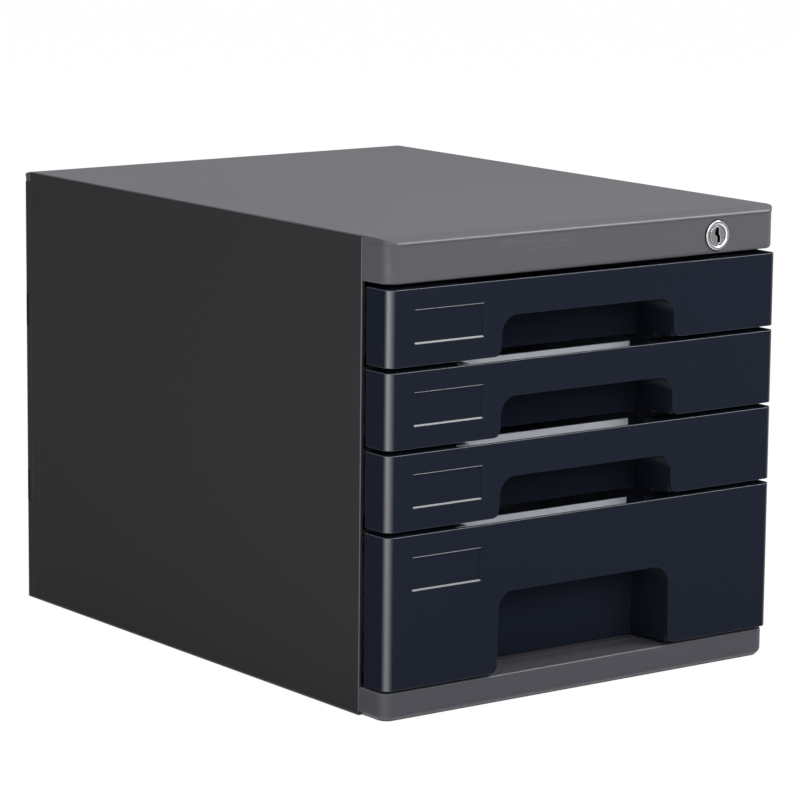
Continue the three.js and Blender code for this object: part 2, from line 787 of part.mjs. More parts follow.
function lockHousing() {
  const face = front;
  const bezelBack = fasciaFace - seam;
  const bore = plugRadius + seam;
  const seat = plugFaceRadius + seam;
  const seatBack = front + plugFaceRecess + plugFaceWall + seam;
  return turned([
    [seat, face + bezelBevel], [seat + bezelBevel, face], [bezelRadius - bezelBevel, face],
    [bezelRadius, bezelBack - seam], [bezelRadius, bezelBack], [barrelRadius, bezelBack],
    [barrelRadius, front + barrelLength], [bore, front + barrelLength], [bore, seatBack], [seat, seatBack],
    [seat, face + bezelBevel],
  ], "y", [lockX, 0, lockZ]);
}

function lockNut() {
  const near = fasciaInner + seam;
  const hexagon = prism(circle(lockX, lockZ, nutRadius, nutSides), "y", near, near + nutWall);
  const bore = circle(lockX, lockZ, barrelRadius + seam);
  return cut(hexagon, prism(bore, "y", near - overrun, near + nutWall + overrun));
}

// The zig-zag keyway, seen from the front
function keywayShape() {
  const half = keywayWidth / 2;
  const reach = keywayHeight / 2;
  const corners = [
    [-half, reach], [half, reach], [half, half], [2 * half, -half], [2 * half, -reach],
    [0, -reach], [0, -half], [-2 * half, half],
  ];
  return outline(corners.map(([x, z]) => [lockX + x, lockZ + z]));
}

function lockPlug() {
  const face = front + plugFaceRecess;
  const shoulder = face + plugFaceWall;
  const rear = front + barrelLength;
  const rotor = turned([
    [0, face], [plugFaceRadius, face], [plugFaceRadius, shoulder], [plugRadius, shoulder],
    [plugRadius, rear], [0, rear],
  ], "y", [lockX, 0, lockZ]);
  const half = tailWidth / 2;
  const tail = block([lockX - half, lockX + half], [rear - overrun, camBack], [lockZ - half, lockZ + half]);
  const keyway = prism(keywayShape(), "y", front - overrun, front + keywayDepth);
  const screwHole = prism(
    circle(lockX, lockZ, camScrewShankRadius + seam), "y", camBack - camScrewLength, camBack + overrun);
  return cut(join(rotor, tail), keyway, screwHole);
}

// The cam: a hub and a tip joined by their tangents, with the pin that moves the bar
function lockCam() {
  const pinX = lockX + camPinOrbit * Math.cos(camRestAngle);
  const pinZ = lockZ + camPinOrbit * Math.sin(camRestAngle);
  const spread = Math.acos((camHubRadius - camTipRadius) / camPinOrbit);
  const points = [];
  for (let step = 0; step <= circleSteps; step += 1) {
    const angle = camRestAngle + spread + ((2 * Math.PI - 2 * spread) * step) / circleSteps;
    points.push(pointAround(lockX, lockZ, camHubRadius, angle));
  }
  for (let step = 0; step <= circleSteps / 2; step += 1) {
    const angle = camRestAngle - spread + (2 * spread * step) / (circleSteps / 2);
    points.push(pointAround(pinX, pinZ, camTipRadius, angle));
  }
  const plate = prism(new THREE.Shape(points), "y", camFront, camBack);
  const pin = prism(circle(pinX, pinZ, camPinRadius), "y", camBack - camWall / 2, barFront + barWall + seam);
  const half = tailWidth / 2 + seam;
  const hole = block(
    [lockX - half, lockX + half], [camFront - overrun, camBack + overrun], [lockZ - half, lockZ + half]);
  return cut(join(plate, pin), hole);
}

function lockCamScrew() {
  const under = camBack + seam;
  return turned([
    [0, under - camScrewLength + seam], [camScrewShankRadius, under - camScrewLength + camScrewShankRadius],
    [camScrewShankRadius, under], [camScrewHeadRadius, under],
    [camScrewHeadRadius, under + camScrewHeadHeight / 2],
    [camScrewHeadRadius / 2, under + camScrewHeadHeight], [0, under + camScrewHeadHeight],
  ], "y", [lockX, 0, lockZ]);
}

// The lock bar at rest, unlocked: each notch lets one drawer's catch through
function lockBar() {
  const foot = plateTop + barFootGap;
  const pinZ = lockZ + camPinOrbit * Math.sin(camRestAngle);
  const armLow = pinZ - armHeight / 2;
  const armTop = pinZ + armHeight / 2;
  const section = outline([
    [barInner, barFront], [barOuter, barFront], [barOuter, barBack], [barOuter - barSideWall, barBack],
    [barOuter - barSideWall, barFront + barWall], [barInner, barFront + barWall],
  ]);
  const strip = prism(section, "z", foot, armTop);
  const slotInner = lockX + camPinOrbit * Math.cos(camRestAngle) - camPinRadius - slotGap;
  const slotOuter = lockX + camPinOrbit + camPinRadius + slotGap;
  const arm = prism(outline([
    [slotInner - armEnd, armLow, armEnd], [barOuter - barSideWall, armLow],
    [barOuter - barSideWall, armTop], [slotInner - armEnd, armTop, armEnd],
  ]), "y", barFront, barFront + barWall);
  const slotHalf = camPinRadius + slotGap;
  const slot = prism(outline([
    [slotInner, pinZ - slotHalf, slotHalf / 2], [slotOuter, pinZ - slotHalf, slotHalf / 2],
    [slotOuter, pinZ + slotHalf, slotHalf / 2], [slotInner, pinZ + slotHalf, slotHalf / 2],
  ]), "y", barFront - overrun, barFront + barWall + overrun);
  const notches = drawers.map(({ trayBottom }) => block(
    [barInner - overrun, catchOuter + catchGap], [barFront - overrun, barFront + barWall + overrun],
    [trayBottom + catchRise - catchGap, trayBottom + catchRise + catchHeight + catchGap]));
  return cut(join(strip, arm), slot, ...notches);
}

// Materials
const finishes = {
  cover: { color: 0x7b7b7e, roughness: 0.5, metalness: 0 },
  panel: { color: 0x3f3f42, roughness: 0.6, metalness: 0 },
  base: { color: 0x5b5b61, roughness: 0.55, metalness: 0 },
  navy: { color: 0x1d212c, roughness: 0.25, metalness: 0 },
  tray: { color: 0xc3c9d2, roughness: 0.5, metalness: 0 },
  rubber: { color: 0x1b1b1c, roughness: 0.9, metalness: 0 },
  chrome: { color: 0xd8d8da, roughness: 0.15, metalness: 1 },
  steel: { color: 0x9a9ca0, roughness: 0.4, metalness: 1 },
};

const fileDrawer = new THREE.Group();

function addPiece(name, solid, finish) {
  const mesh = new THREE.Mesh(geometryOf(solid), new THREE.MeshStandardMaterial(finishes[finish]));
  mesh.name = name;
  fileDrawer.add(mesh);
}

addPiece("top_cover", topCover(), "cover");
addPiece("left_side_panel", sidePanel(-1), "panel");
addPiece("right_side_panel", sidePanel(1), "panel");
addPiece("back_panel", backPanel(), "panel");
addPiece("base_lip", baseLip(), "base");
addPiece("base_plate", basePlate(), "base");
for (const [place, point] of Object.entries(footPlaces())) {
  addPiece(`foot_${place}`, foot(point), "rubber");
}
for (const [place, point] of Object.entries(screwPlaces())) {
  addPiece(`base_screw_${place}`, baseScrew(point), "steel");
}
for (const drawer of [...drawers].reverse()) {
  addPiece(`drawer_front_${drawer.number}`, drawerFront(drawer), "navy");
  addPiece(`drawer_tray_${drawer.number}`, drawerTray(drawer), "tray");
}
addPiece("lock_housing", lockHousing(), "chrome");
addPiece("lock_nut", lockNut(), "steel");
addPiece("lock_plug", lockPlug(), "chrome");
addPiece("lock_cam", lockCam(), "steel");
addPiece("lock_cam_screw", lockCamScrew(), "steel");
addPiece("lock_bar", lockBar(), "steel");

export default fileDrawer;
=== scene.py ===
import json
import math

import bmesh
import bpy
from mathutils import Matrix, Vector


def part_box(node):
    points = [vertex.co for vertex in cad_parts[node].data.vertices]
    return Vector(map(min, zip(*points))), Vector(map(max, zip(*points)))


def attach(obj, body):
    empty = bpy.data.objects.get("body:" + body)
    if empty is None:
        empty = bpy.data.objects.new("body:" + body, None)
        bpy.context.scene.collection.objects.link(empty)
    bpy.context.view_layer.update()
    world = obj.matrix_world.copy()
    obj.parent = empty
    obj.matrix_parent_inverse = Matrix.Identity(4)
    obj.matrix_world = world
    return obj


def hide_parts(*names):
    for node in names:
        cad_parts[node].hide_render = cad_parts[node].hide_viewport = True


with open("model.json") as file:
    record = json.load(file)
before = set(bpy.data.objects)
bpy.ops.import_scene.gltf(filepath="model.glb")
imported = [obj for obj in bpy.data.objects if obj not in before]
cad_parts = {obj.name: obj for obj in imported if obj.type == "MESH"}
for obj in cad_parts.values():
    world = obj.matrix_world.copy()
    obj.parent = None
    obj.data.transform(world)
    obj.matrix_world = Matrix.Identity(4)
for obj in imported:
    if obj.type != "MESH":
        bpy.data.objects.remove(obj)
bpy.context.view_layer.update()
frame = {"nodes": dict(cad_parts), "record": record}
nodes = frame["nodes"]
mm = 0.001
spare = 1.0  # how far a cutting tool reaches past what it cuts
overlap = 1.0  # how far a joined form starts inside the other
print("Frame loaded with", len(nodes), "nodes")


# modelling steps that every piece uses: places and sizes are given in millimetres

def deselectAll():
    if bpy.context.object and bpy.context.object.mode != "OBJECT":
        bpy.ops.object.mode_set(mode="OBJECT")
    bpy.ops.object.select_all(action="DESELECT")


def activate(piece):
    deselectAll()
    piece.select_set(True)
    bpy.context.view_layer.objects.active = piece


def applyPlace(piece):
    activate(piece)
    bpy.ops.object.transform_apply(location=True, rotation=True, scale=True)


def addBlock(name, low, high):
    deselectAll()
    middle = [(a + b) / 2 * mm for a, b in zip(low, high)]
    bpy.ops.mesh.primitive_cube_add(size=1, location=middle)
    piece = bpy.context.object
    piece.name = name
    piece.scale = [abs(b - a) * mm for a, b in zip(low, high)]
    applyPlace(piece)
    return piece


def sideBlock(name, side, xs, ys, zs):  # on the left for side -1, where its xs are mirrored
    inner, outer = sorted((side * xs[0], side * xs[1]))
    return addBlock(name, (inner, ys[0], zs[0]), (outer, ys[1], zs[1]))


def addRound(name, middle, radius, length, axis, sides=64):
    deselectAll()
    turn = {"x": (0, math.pi / 2, 0), "y": (math.pi / 2, 0, 0), "z": (0, 0, 0)}[axis]
    bpy.ops.mesh.primitive_cylinder_add(
        vertices=sides, radius=radius * mm, depth=length * mm,
        location=[value * mm for value in middle], rotation=turn)
    piece = bpy.context.object
    piece.name = name
    applyPlace(piece)
    return piece


def openEdit(piece, mode):
    activate(piece)
    bpy.ops.object.mode_set(mode="EDIT")
    bpy.ops.mesh.select_mode(type=mode)
    bpy.ops.mesh.select_all(action="DESELECT")
    return bmesh.from_edit_mesh(piece.data)


def closeEdit():
    bpy.ops.object.mode_set(mode="OBJECT")


def selectEdges(piece, chosen):
    shape = openEdit(piece, "EDGE")
    for edge in shape.edges:
        start, end = edge.verts[0].co, edge.verts[1].co
        edge.select_set(bool(chosen((start + end) / 2 / mm, (end - start).normalized())))
    bmesh.update_edit_mesh(piece.data)


def resizeFaces(piece, chosen, centre, factors):
    shape = openEdit(piece, "FACE")
    for face in shape.faces:
        face.select_set(bool(chosen(face.normal)))
    bmesh.update_edit_mesh(piece.data)
    bpy.ops.transform.resize(value=factors, center_override=[value * mm for value in centre])
    closeEdit()


def bevelEdges(piece, chosen, radius, segments=8):
    selectEdges(piece, chosen)
    bpy.ops.mesh.bevel(offset=radius * mm, segments=segments, affect="EDGES", clamp_overlap=False)
    closeEdit()


def near(value, target, room=0.02):
    return abs(value - target) < room


def moveEdges(piece, chosen, shift):
    selectEdges(piece, chosen)
    bpy.ops.transform.translate(value=[value * mm for value in shift])
    closeEdit()


def isAlong(along, axis):
    return abs(getattr(along, axis)) > 0.99


def isLevel(along):
    return abs(along.z) < 0.1


def combine(piece, tool, operation):
    activate(piece)
    boolean = piece.modifiers.new("boolean", "BOOLEAN")
    boolean.operation = operation
    boolean.solver = "EXACT"
    boolean.object = tool
    bpy.ops.object.modifier_apply(modifier=boolean.name)
    bpy.data.objects.remove(tool)


def cutOut(piece, tool):
    combine(piece, tool, "DIFFERENCE")


def joinOn(piece, tool):
    combine(piece, tool, "UNION")


def keepWithin(piece, tool):
    combine(piece, tool, "INTERSECT")


def tidyMesh(piece, weld=0.01, flatAngle=0.5):
    openEdit(piece, "VERT")
    bpy.ops.mesh.select_all(action="SELECT")
    bpy.ops.mesh.remove_doubles(threshold=weld * mm)
    bpy.ops.mesh.dissolve_limited(angle_limit=math.radians(flatAngle))
    bpy.ops.mesh.normals_make_consistent(inside=False)
    closeEdit()


def softenEdges(piece, width, segments=2, angle=32):
    activate(piece)
    soften = piece.modifiers.new("soften", "BEVEL")
    soften.width = width * mm
    soften.segments = segments
    soften.limit_method = "ANGLE"
    soften.angle_limit = math.radians(angle)
    soften.use_clamp_overlap = False
    soften.miter_outer = "MITER_ARC"
    bpy.ops.object.modifier_apply(modifier=soften.name)


def shadeSmooth(piece, angle=38):
    activate(piece)
    bpy.ops.object.shade_smooth_by_angle(angle=math.radians(angle))
    weigh = piece.modifiers.new("weigh", "WEIGHTED_NORMAL")
    weigh.keep_sharp = True
    weigh.weight = 80
    bpy.ops.object.modifier_apply(modifier=weigh.name)


def finishPiece(piece, body, node, material):
    piece.data.materials.clear()
    piece.data.materials.append(material)
    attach(piece, body)
    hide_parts(node)


def completePiece(piece, softEdge, body, node, material, segments=2):
    tidyMesh(piece)
    softenEdges(piece, softEdge, segments)
    shadeSmooth(piece)
    finishPiece(piece, body, node, material)


# shared effects, as node groups that put out masks and values

def feed(tree, socket, source):  # a link where the source is another socket, else a plain value
    if isinstance(source, bpy.types.NodeSocket):
        tree.links.new(source, socket)
    else:
        socket.default_value = source


def addNode(tree, kind, sockets=None, **settings):
    node = tree.nodes.new(kind)
    for key, value in settings.items():
        setattr(node, key, value)
    for key, source in (sockets or {}).items():
        feed(tree, node.inputs[key], source)
    return node


def mathNode(tree, operation, first, second=None, clamp=False):
    sources = {0: first} if second is None else {0: first, 1: second}
    return addNode(tree, "ShaderNodeMath", sources, operation=operation, use_clamp=clamp).outputs[0]


def rampNode(tree, source, low, high):
    sources = {"Value": source, "From Min": low, "From Max": high}
    return addNode(tree, "ShaderNodeMapRange", sources).outputs["Result"]


def noiseNode(tree, place, scale, detail=2.0, roughness=0.5, distortion=0.0):
    return addNode(tree, "ShaderNodeTexNoise", {
        "Vector": place, "Scale": scale, "Detail": detail, "Roughness": roughness, "Distortion": distortion,
    }).outputs["Fac"]


def objectPlace(tree):
    return addNode(tree, "ShaderNodeTexCoord").outputs["Object"]


def newGroup(name, inputs, outputs):
    group = bpy.data.node_groups.new(name, "ShaderNodeTree")
    for socketName, value in inputs.items():
        kind = "NodeSocketVector" if isinstance(value, tuple) else "NodeSocketFloat"
        group.interface.new_socket(name=socketName, in_out="INPUT", socket_type=kind).default_value = value
    for socketName in outputs:
        group.interface.new_socket(name=socketName, in_out="OUTPUT", socket_type="NodeSocketFloat")
    return group, group.nodes.new("NodeGroupInput").outputs, group.nodes.new("NodeGroupOutput").inputs


grainValues = {
    "detail": 3.0, "roughness": 0.6, "cellShare": 0.5, "mottleDetail": 1.0, "mottleRange": (0.3, 0.7),
}


def makeGrainGroup(values):  # the fine spark texture of a moulded face, with the slow mottling of its gloss
    group, given, result = newGroup(
        "mouldedGrain", {"Scale": 900.0, "Mottle Scale": 9.0}, ("Height", "Mottle"))
    place = objectPlace(group)
    fine = noiseNode(group, place, given["Scale"], values["detail"], values["roughness"])
    cells = addNode(group, "ShaderNodeTexVoronoi", {"Vector": place, "Scale": given["Scale"]},
                    feature="SMOOTH_F1")
    coarse = mathNode(group, "MULTIPLY", cells.outputs["Distance"], values["cellShare"])
    slow = noiseNode(group, place, given["Mottle Scale"], values["mottleDetail"])
    feed(group, result["Height"], mathNode(group, "ADD", fine, coarse))
    feed(group, result["Mottle"], rampNode(group, slow, *values["mottleRange"]))
    return group


scuffValues = {"detail": 4.0, "distortion": 0.4, "lineWidth": 0.02, "patchScale": 14.0, "patchLimit": 0.66}


def makeScuffGroup(values):  # hairline scuffs that run mostly one way
    group, given, result = newGroup(
        "hairlineScuffs", {"Scale": 30.0, "Stretch": (1.0, 1.0, 1.0), "Cover": 0.1}, ("Mask",))
    place = objectPlace(group)
    stretched = addNode(group, "ShaderNodeVectorMath", {0: place, 1: given["Stretch"]}, operation="MULTIPLY")
    lines = noiseNode(group, stretched.outputs[0], given["Scale"], values["detail"],
                      distortion=values["distortion"])
    ridge = mathNode(group, "ABSOLUTE", mathNode(group, "SUBTRACT", lines, 0.5))
    thin = mathNode(group, "SUBTRACT", 1.0, rampNode(group, ridge, 0.0, values["lineWidth"]), clamp=True)
    patches = mathNode(group, "ADD", noiseNode(group, place, values["patchScale"]), given["Cover"])
    where = mathNode(group, "GREATER_THAN", patches, values["patchLimit"])
    feed(group, result["Mask"], mathNode(group, "MULTIPLY", thin, where))
    return group


dustValues = {"detail": 8.0, "roughness": 0.75, "upRange": (0.55, 0.98), "filmRange": (0.42, 0.75)}


def makeDustGroup(values):  # a thin film that settles on what faces up
    group, given, result = newGroup("settledDust", {"Scale": 60.0, "Amount": 0.1}, ("Mask",))
    shape = addNode(group, "ShaderNodeNewGeometry")
    parts = addNode(group, "ShaderNodeSeparateXYZ", {0: shape.outputs["Normal"]}).outputs
    up = rampNode(group, parts["Z"], *values["upRange"])
    specks = noiseNode(group, objectPlace(group), given["Scale"], values["detail"], values["roughness"])
    film = mathNode(group, "MULTIPLY", up, rampNode(group, specks, *values["filmRange"]))
    feed(group, result["Mask"], mathNode(group, "MULTIPLY", film, given["Amount"], clamp=True))
    return group


edgeValues = {"detail": 6.0, "brokenRange": (0.4, 0.62), "roundStart": 0.006, "lyingEnd": 0.5}


def makeEdgeGroup(values):  # sharp edges rubbed a little paler by handling, and a mask on rounded faces: gloss on plastics, painted highlight on metals
    group, given, result = newGroup(
        "rubbedEdgesAndPaintedHighlight", {"Amount": 0.3, "Scale": 120.0, "Upright": 0.5, "Level": 0.5, "Reach": 0.26},
        ("Mask", "PolishAndPaintedHighlight"))
    shape = addNode(group, "ShaderNodeNewGeometry")
    facing = addNode(group, "ShaderNodeVectorMath", {0: shape.outputs["Normal"]}, operation="ABSOLUTE")
    parts = addNode(group, "ShaderNodeSeparateXYZ", {0: facing.outputs[0]}).outputs
    largest = mathNode(group, "MAXIMUM", mathNode(group, "MAXIMUM", parts["X"], parts["Y"]), parts["Z"])
    turned = mathNode(group, "SUBTRACT", 1.0, largest)
    rounded = rampNode(group, turned, values["roundStart"], given["Reach"])
    broken = noiseNode(group, objectPlace(group), given["Scale"], values["detail"])
    worn = mathNode(group, "MULTIPLY", rounded, rampNode(group, broken, *values["brokenRange"]))
    feed(group, result["Mask"], mathNode(group, "MULTIPLY", worn, given["Amount"], clamp=True))
    lying = rampNode(group, parts["Z"], 0.0, values["lyingEnd"])
    spread = mathNode(group, "SUBTRACT", given["Level"], given["Upright"])
    polishAndPaintedHighlight = mathNode(group, "ADD", mathNode(group, "MULTIPLY", spread, lying), given["Upright"])
    feed(group, result["PolishAndPaintedHighlight"], mathNode(group, "MULTIPLY", rounded, polishAndPaintedHighlight, clamp=True))
    return group


grainGroup = makeGrainGroup(grainValues)
scuffGroup = makeScuffGroup(scuffValues)
dustGroup = makeDustGroup(dustValues)
edgeGroup = makeEdgeGroup(edgeValues)
print("Node groups made")


# the finishes: colours as a paint program shows them, 0 to 255

def linear(red, green, blue):
    return tuple(
        value / 255 / 12.92 if value <= 10 else ((value / 255 + 0.055) / 1.055) ** 2.4
        for value in (red, green, blue))


def placeGroup(tree, group, sockets):
    return addNode(tree, "ShaderNodeGroup", sockets, node_tree=group).outputs


def mixColor(tree, factor, first, second):
    first, second = ((*source, 1) if isinstance(source, tuple) else source for source in (first, second))
    return addNode(tree, "ShaderNodeMix", {0: factor, 6: first, 7: second}, data_type="RGBA").outputs[2]


def startMaterial(name, values):  # with the grain and the scuffs that plastics and metals share
    material = bpy.data.materials.new(name)
    material.use_nodes = True
    tree = material.node_tree
    grain = placeGroup(tree, grainGroup, {
        "Scale": values["grainScale"], "Mottle Scale": values["mottleScale"]})
    scuffs = placeGroup(tree, scuffGroup, {
        "Scale": values["scuffScale"], "Stretch": values["scuffStretch"], "Cover": values["scuffCover"]})
    return material, tree.nodes["Principled BSDF"].inputs, grain, scuffs["Mask"]


def scuffedRoughness(tree, values, mottle, scuffs, share):
    low, high = values["roughness"]
    rough = mathNode(tree, "ADD", mathNode(tree, "MULTIPLY", mottle, high - low), low)
    return mathNode(tree, "ADD", rough, mathNode(tree, "MULTIPLY", scuffs, share), clamp=True)


def bumpNormal(tree, values, height):
    return addNode(tree, "ShaderNodeBump", {
        "Strength": values["bump"], "Distance": values["bumpDepth"] * mm, "Height": height}).outputs["Normal"]


wearValues = {
    "index": 1.46, "dustScale": 70.0, "dustColor": (150, 148, 144), "dustRoughness": 0.3, "edgeScale": 160.0,
    "scuffRoughness": 0.12, "scuffDepth": 0.4, "metalScuffRoughness": 0.15, "metalMottle": 0.1,
}


def makePlastic(name, values):
    material, sockets, grain, scuffs = startMaterial(name, values)
    tree = material.node_tree
    feed(tree, sockets["IOR"], wearValues["index"])
    feed(tree, sockets["Specular IOR Level"], values["specular"])
    feed(tree, sockets["Coat Roughness"], values["coatRoughness"])
    feed(tree, sockets["Coat IOR"], values["coatIndex"])
    upright, level, reach = values["polishAndPaintedHighlight"]
    dust = placeGroup(tree, dustGroup, {"Scale": wearValues["dustScale"], "Amount": values["dust"]})["Mask"]
    edges = placeGroup(tree, edgeGroup, {
        "Amount": values["edgeWear"], "Scale": wearValues["edgeScale"], "Upright": upright, "Level": level,
        "Reach": reach})
    feed(tree, sockets["Coat Weight"], edges["PolishAndPaintedHighlight"])
    base, paler = linear(*values["color"]), linear(*values["palerColor"])
    darkest, palest = (tuple(part * (1 + sign * values["mottle"]) for part in base) for sign in (-1, 1))
    color = mixColor(tree, grain["Mottle"], darkest, palest)
    color = mixColor(tree, mathNode(tree, "MULTIPLY", scuffs, values["scuffs"]), color, paler)
    color = mixColor(tree, dust, color, linear(*wearValues["dustColor"]))
    feed(tree, sockets["Base Color"], mixColor(tree, edges["Mask"], color, paler))
    rough = scuffedRoughness(tree, values, grain["Mottle"], scuffs, wearValues["scuffRoughness"])
    dusty = mathNode(tree, "MULTIPLY", dust, wearValues["dustRoughness"])
    feed(tree, sockets["Roughness"], mathNode(tree, "ADD", rough, dusty, clamp=True))
    depth = mathNode(tree, "MULTIPLY", scuffs, wearValues["scuffDepth"])
    height = mathNode(tree, "SUBTRACT", grain["Height"], depth)
    feed(tree, sockets["Normal"], bumpNormal(tree, values, height))
    return material


def makeMetal(name, values):
    material, sockets, grain, scuffs = startMaterial(name, values)
    tree = material.node_tree
    feed(tree, sockets["Metallic"], 1.0)
    edges = placeGroup(tree, edgeGroup, {
        "Amount": 0.0, "Scale": wearValues["edgeScale"], "Upright": values["polishAndPaintedHighlight"],
        "Level": values["polishAndPaintedHighlight"]})
    base, paler = linear(*values["color"]), linear(*values["palerColor"])
    darker = tuple(part * (1 - wearValues["metalMottle"]) for part in base)
    color = mixColor(tree, grain["Mottle"], darker, base)
    color = mixColor(tree, mathNode(tree, "MULTIPLY", scuffs, values["scuffs"]), color, paler)
    # painted highlight: rounded metal edges get the paler colour, which stands in for the bright reflections
    # along them
    feed(tree, sockets["Base Color"], mixColor(tree, edges["PolishAndPaintedHighlight"], color, paler))
    rough = scuffedRoughness(tree, values, grain["Mottle"], scuffs, wearValues["metalScuffRoughness"])
    feed(tree, sockets["Roughness"], rough)
    feed(tree, sockets["Normal"], bumpNormal(tree, values, grain["Height"]))
    return material


capFinish = {
    "color": (88, 88, 93), "palerColor": (140, 140, 144), "roughness": (0.62, 0.72), "specular": 0.16,
    "grainScale": 1500.0, "mottleScale": 3.0, "mottle": 0.02, "bump": 0.05, "bumpDepth": 0.05,
    "scuffScale": 16.0, "scuffStretch": (0.6, 9.0, 9.0), "scuffCover": 0.04, "scuffs": 0.10,
    "dust": 0.03, "edgeWear": 0.12, "polishAndPaintedHighlight": (0.22, 0.45, 0.26), "coatIndex": 1.9, "coatRoughness": 0.3,
}
shellFinish = {
    "color": (53, 53, 55), "palerColor": (92, 92, 94), "roughness": (0.66, 0.74), "specular": 0.06,
    "grainScale": 1300.0, "mottleScale": 2.5, "mottle": 0.015, "bump": 0.05, "bumpDepth": 0.05,
    "scuffScale": 14.0, "scuffStretch": (9.0, 0.7, 9.0), "scuffCover": 0.0, "scuffs": 0.05,
    "dust": 0.03, "edgeWear": 0.08, "polishAndPaintedHighlight": (0.9, 0.4, 0.09), "coatIndex": 1.9, "coatRoughness": 0.28,
}
baseFinish = {
    **capFinish, "color": (76, 76, 83), "palerColor": (128, 128, 133), "roughness": (0.6, 0.7),
    "specular": 0.15, "mottleScale": 4.0, "mottle": 0.03, "scuffScale": 18.0, "scuffCover": 0.06,
    "dust": 0.04, "polishAndPaintedHighlight": (0.2, 0.4, 0.26),
}
navyFinish = {
    "color": (31, 36, 47), "palerColor": (60, 65, 78), "roughness": (0.3, 0.36), "specular": 0.0,
    "grainScale": 500.0, "mottleScale": 5.0, "mottle": 0.02, "bump": 0.02, "bumpDepth": 0.03,
    "scuffScale": 22.0, "scuffStretch": (0.8, 8.0, 8.0), "scuffCover": 0.0, "scuffs": 0.05,
    "dust": 0.01, "edgeWear": 0.08, "polishAndPaintedHighlight": (1.0, 0.75, 0.2), "coatIndex": 2.2, "coatRoughness": 0.36,
}
trayFinish = {
    "color": (220, 225, 234), "palerColor": (226, 231, 238), "roughness": (0.45, 0.55), "specular": 0.15,
    "grainScale": 1100.0, "mottleScale": 8.0, "mottle": 0.02, "bump": 0.08, "bumpDepth": 0.04,
    "scuffScale": 24.0, "scuffStretch": (8.0, 0.8, 8.0), "scuffCover": 0.1, "scuffs": 0.2,
    "dust": 0.05, "edgeWear": 0.2, "polishAndPaintedHighlight": (0.3, 0.3, 0.26), "coatIndex": 1.9, "coatRoughness": 0.3,
}
rubberFinish = {
    "color": (28, 28, 29), "palerColor": (60, 60, 60), "roughness": (0.75, 0.88), "specular": 0.3,
    "grainScale": 2200.0, "mottleScale": 60.0, "mottle": 0.1, "bump": 0.3, "bumpDepth": 0.05,
    "scuffScale": 60.0, "scuffStretch": (1.0, 1.0, 1.0), "scuffCover": 0.12, "scuffs": 0.3,
    "dust": 0.15, "edgeWear": 0.3, "polishAndPaintedHighlight": (0.0, 0.0, 0.26), "coatIndex": 1.9, "coatRoughness": 0.5,
}
# for metals the polish value sets the strength of a painted highlight: rounded edges painted in the paler
# colour
chromeFinish = {
    "color": (148, 148, 152), "palerColor": (246, 246, 248), "roughness": (0.07, 0.14), "polishAndPaintedHighlight": 1.0,
    "grainScale": 2500.0, "mottleScale": 120.0, "bump": 0.03, "bumpDepth": 0.02,
    "scuffScale": 220.0, "scuffStretch": (1.0, 6.0, 1.0), "scuffCover": 0.12, "scuffs": 0.2,
}
plugFinish = {
    **chromeFinish, "color": (136, 134, 136), "palerColor": (244, 244, 246), "roughness": (0.12, 0.22),
    "mottleScale": 260.0, "bump": 0.05, "scuffScale": 260.0, "scuffCover": 0.16, "scuffs": 0.4,
}
steelFinish = {
    "color": (168, 170, 174), "palerColor": (205, 206, 208), "roughness": (0.28, 0.42), "polishAndPaintedHighlight": 0.4,
    "grainScale": 1800.0, "mottleScale": 40.0, "bump": 0.1, "bumpDepth": 0.03,
    "scuffScale": 90.0, "scuffStretch": (6.0, 6.0, 1.0), "scuffCover": 0.15, "scuffs": 0.3,
}
capPlastic = makePlastic("capGreyPlastic", capFinish)
shellPlastic = makePlastic("shellDarkPlastic", shellFinish)
basePlastic = makePlastic("baseGreyPlastic", baseFinish)
navyPlastic = makePlastic("navyGlossPlastic", navyFinish)
trayPlastic = makePlastic("trayLightPlastic", trayFinish)
footRubber = makePlastic("footRubber", rubberFinish)
chromePlate = makeMetal("lockChrome", chromeFinish)
plugPlate = makeMetal("lockPlugNickel", plugFinish)
zincSteel = makeMetal("zincSteel", steelFinish)
finishOfSlot = {
    "cap": capPlastic, "shell": shellPlastic, "base": basePlastic, "front": navyPlastic, "tray": trayPlastic,
    "feet": footRubber, "lock": chromePlate, "fixings": zincSteel,
}
slotOfNode = {entry["node"]: entry["material_slot"] for entry in frame["record"]["subparts"]}
for nodeName, nodeObject in nodes.items():
    nodeObject.data.materials.clear()
    nodeObject.data.materials.append(finishOfSlot[slotOfNode[nodeName]])
print("Materials made:", len(finishOfSlot))


# the top cover

coverValues = {
    "halfWidth": 150.0, "front": -202.4, "rear": 203.0, "bottom": 260.3, "top": 287.0,
    "frontRoll": (12.0, 3.9), "rearRoll": (13.0, 6.0), "rollReach": 200.0, "cornerRadius": 9.5,
    "rearCornerRadius": 5.5, "step": 0.6, "wall": 2.6, "roofEdge": 1.0, "footRadius": 2.0,
    "returnEnd": -177.0, "rearReturnStart": 193.0, "rearSkirt": 6.5, "rebateWidth": 2.9,
    "gussetWall": 1.6, "gussetSpacing": 34.0, "gussetSink": 1.3, "gussetDepth": 12.0, "gussetFoot": 3.0,
    "lockX": 100.6, "lockZ": 271.7, "lockHole": 8.2, "lockHoleLength": 12.0, "lockSeat": (9.8, 1.5),
    "sideStep": 0.25, "edgeRound": 0.5, "softEdge": 0.24,
}


def roundedPlan(name, low, high, frontRadius, rearRadius, segments=12):
    piece = addBlock(name, low, high)
    for level, radius in ((low[1], frontRadius), (high[1], rearRadius)):
        if radius:
            bevelEdges(piece, lambda middle, along: isAlong(along, "z") and near(middle.y, level)
                       and near(abs(middle.x), high[0]), radius, segments)
    return piece


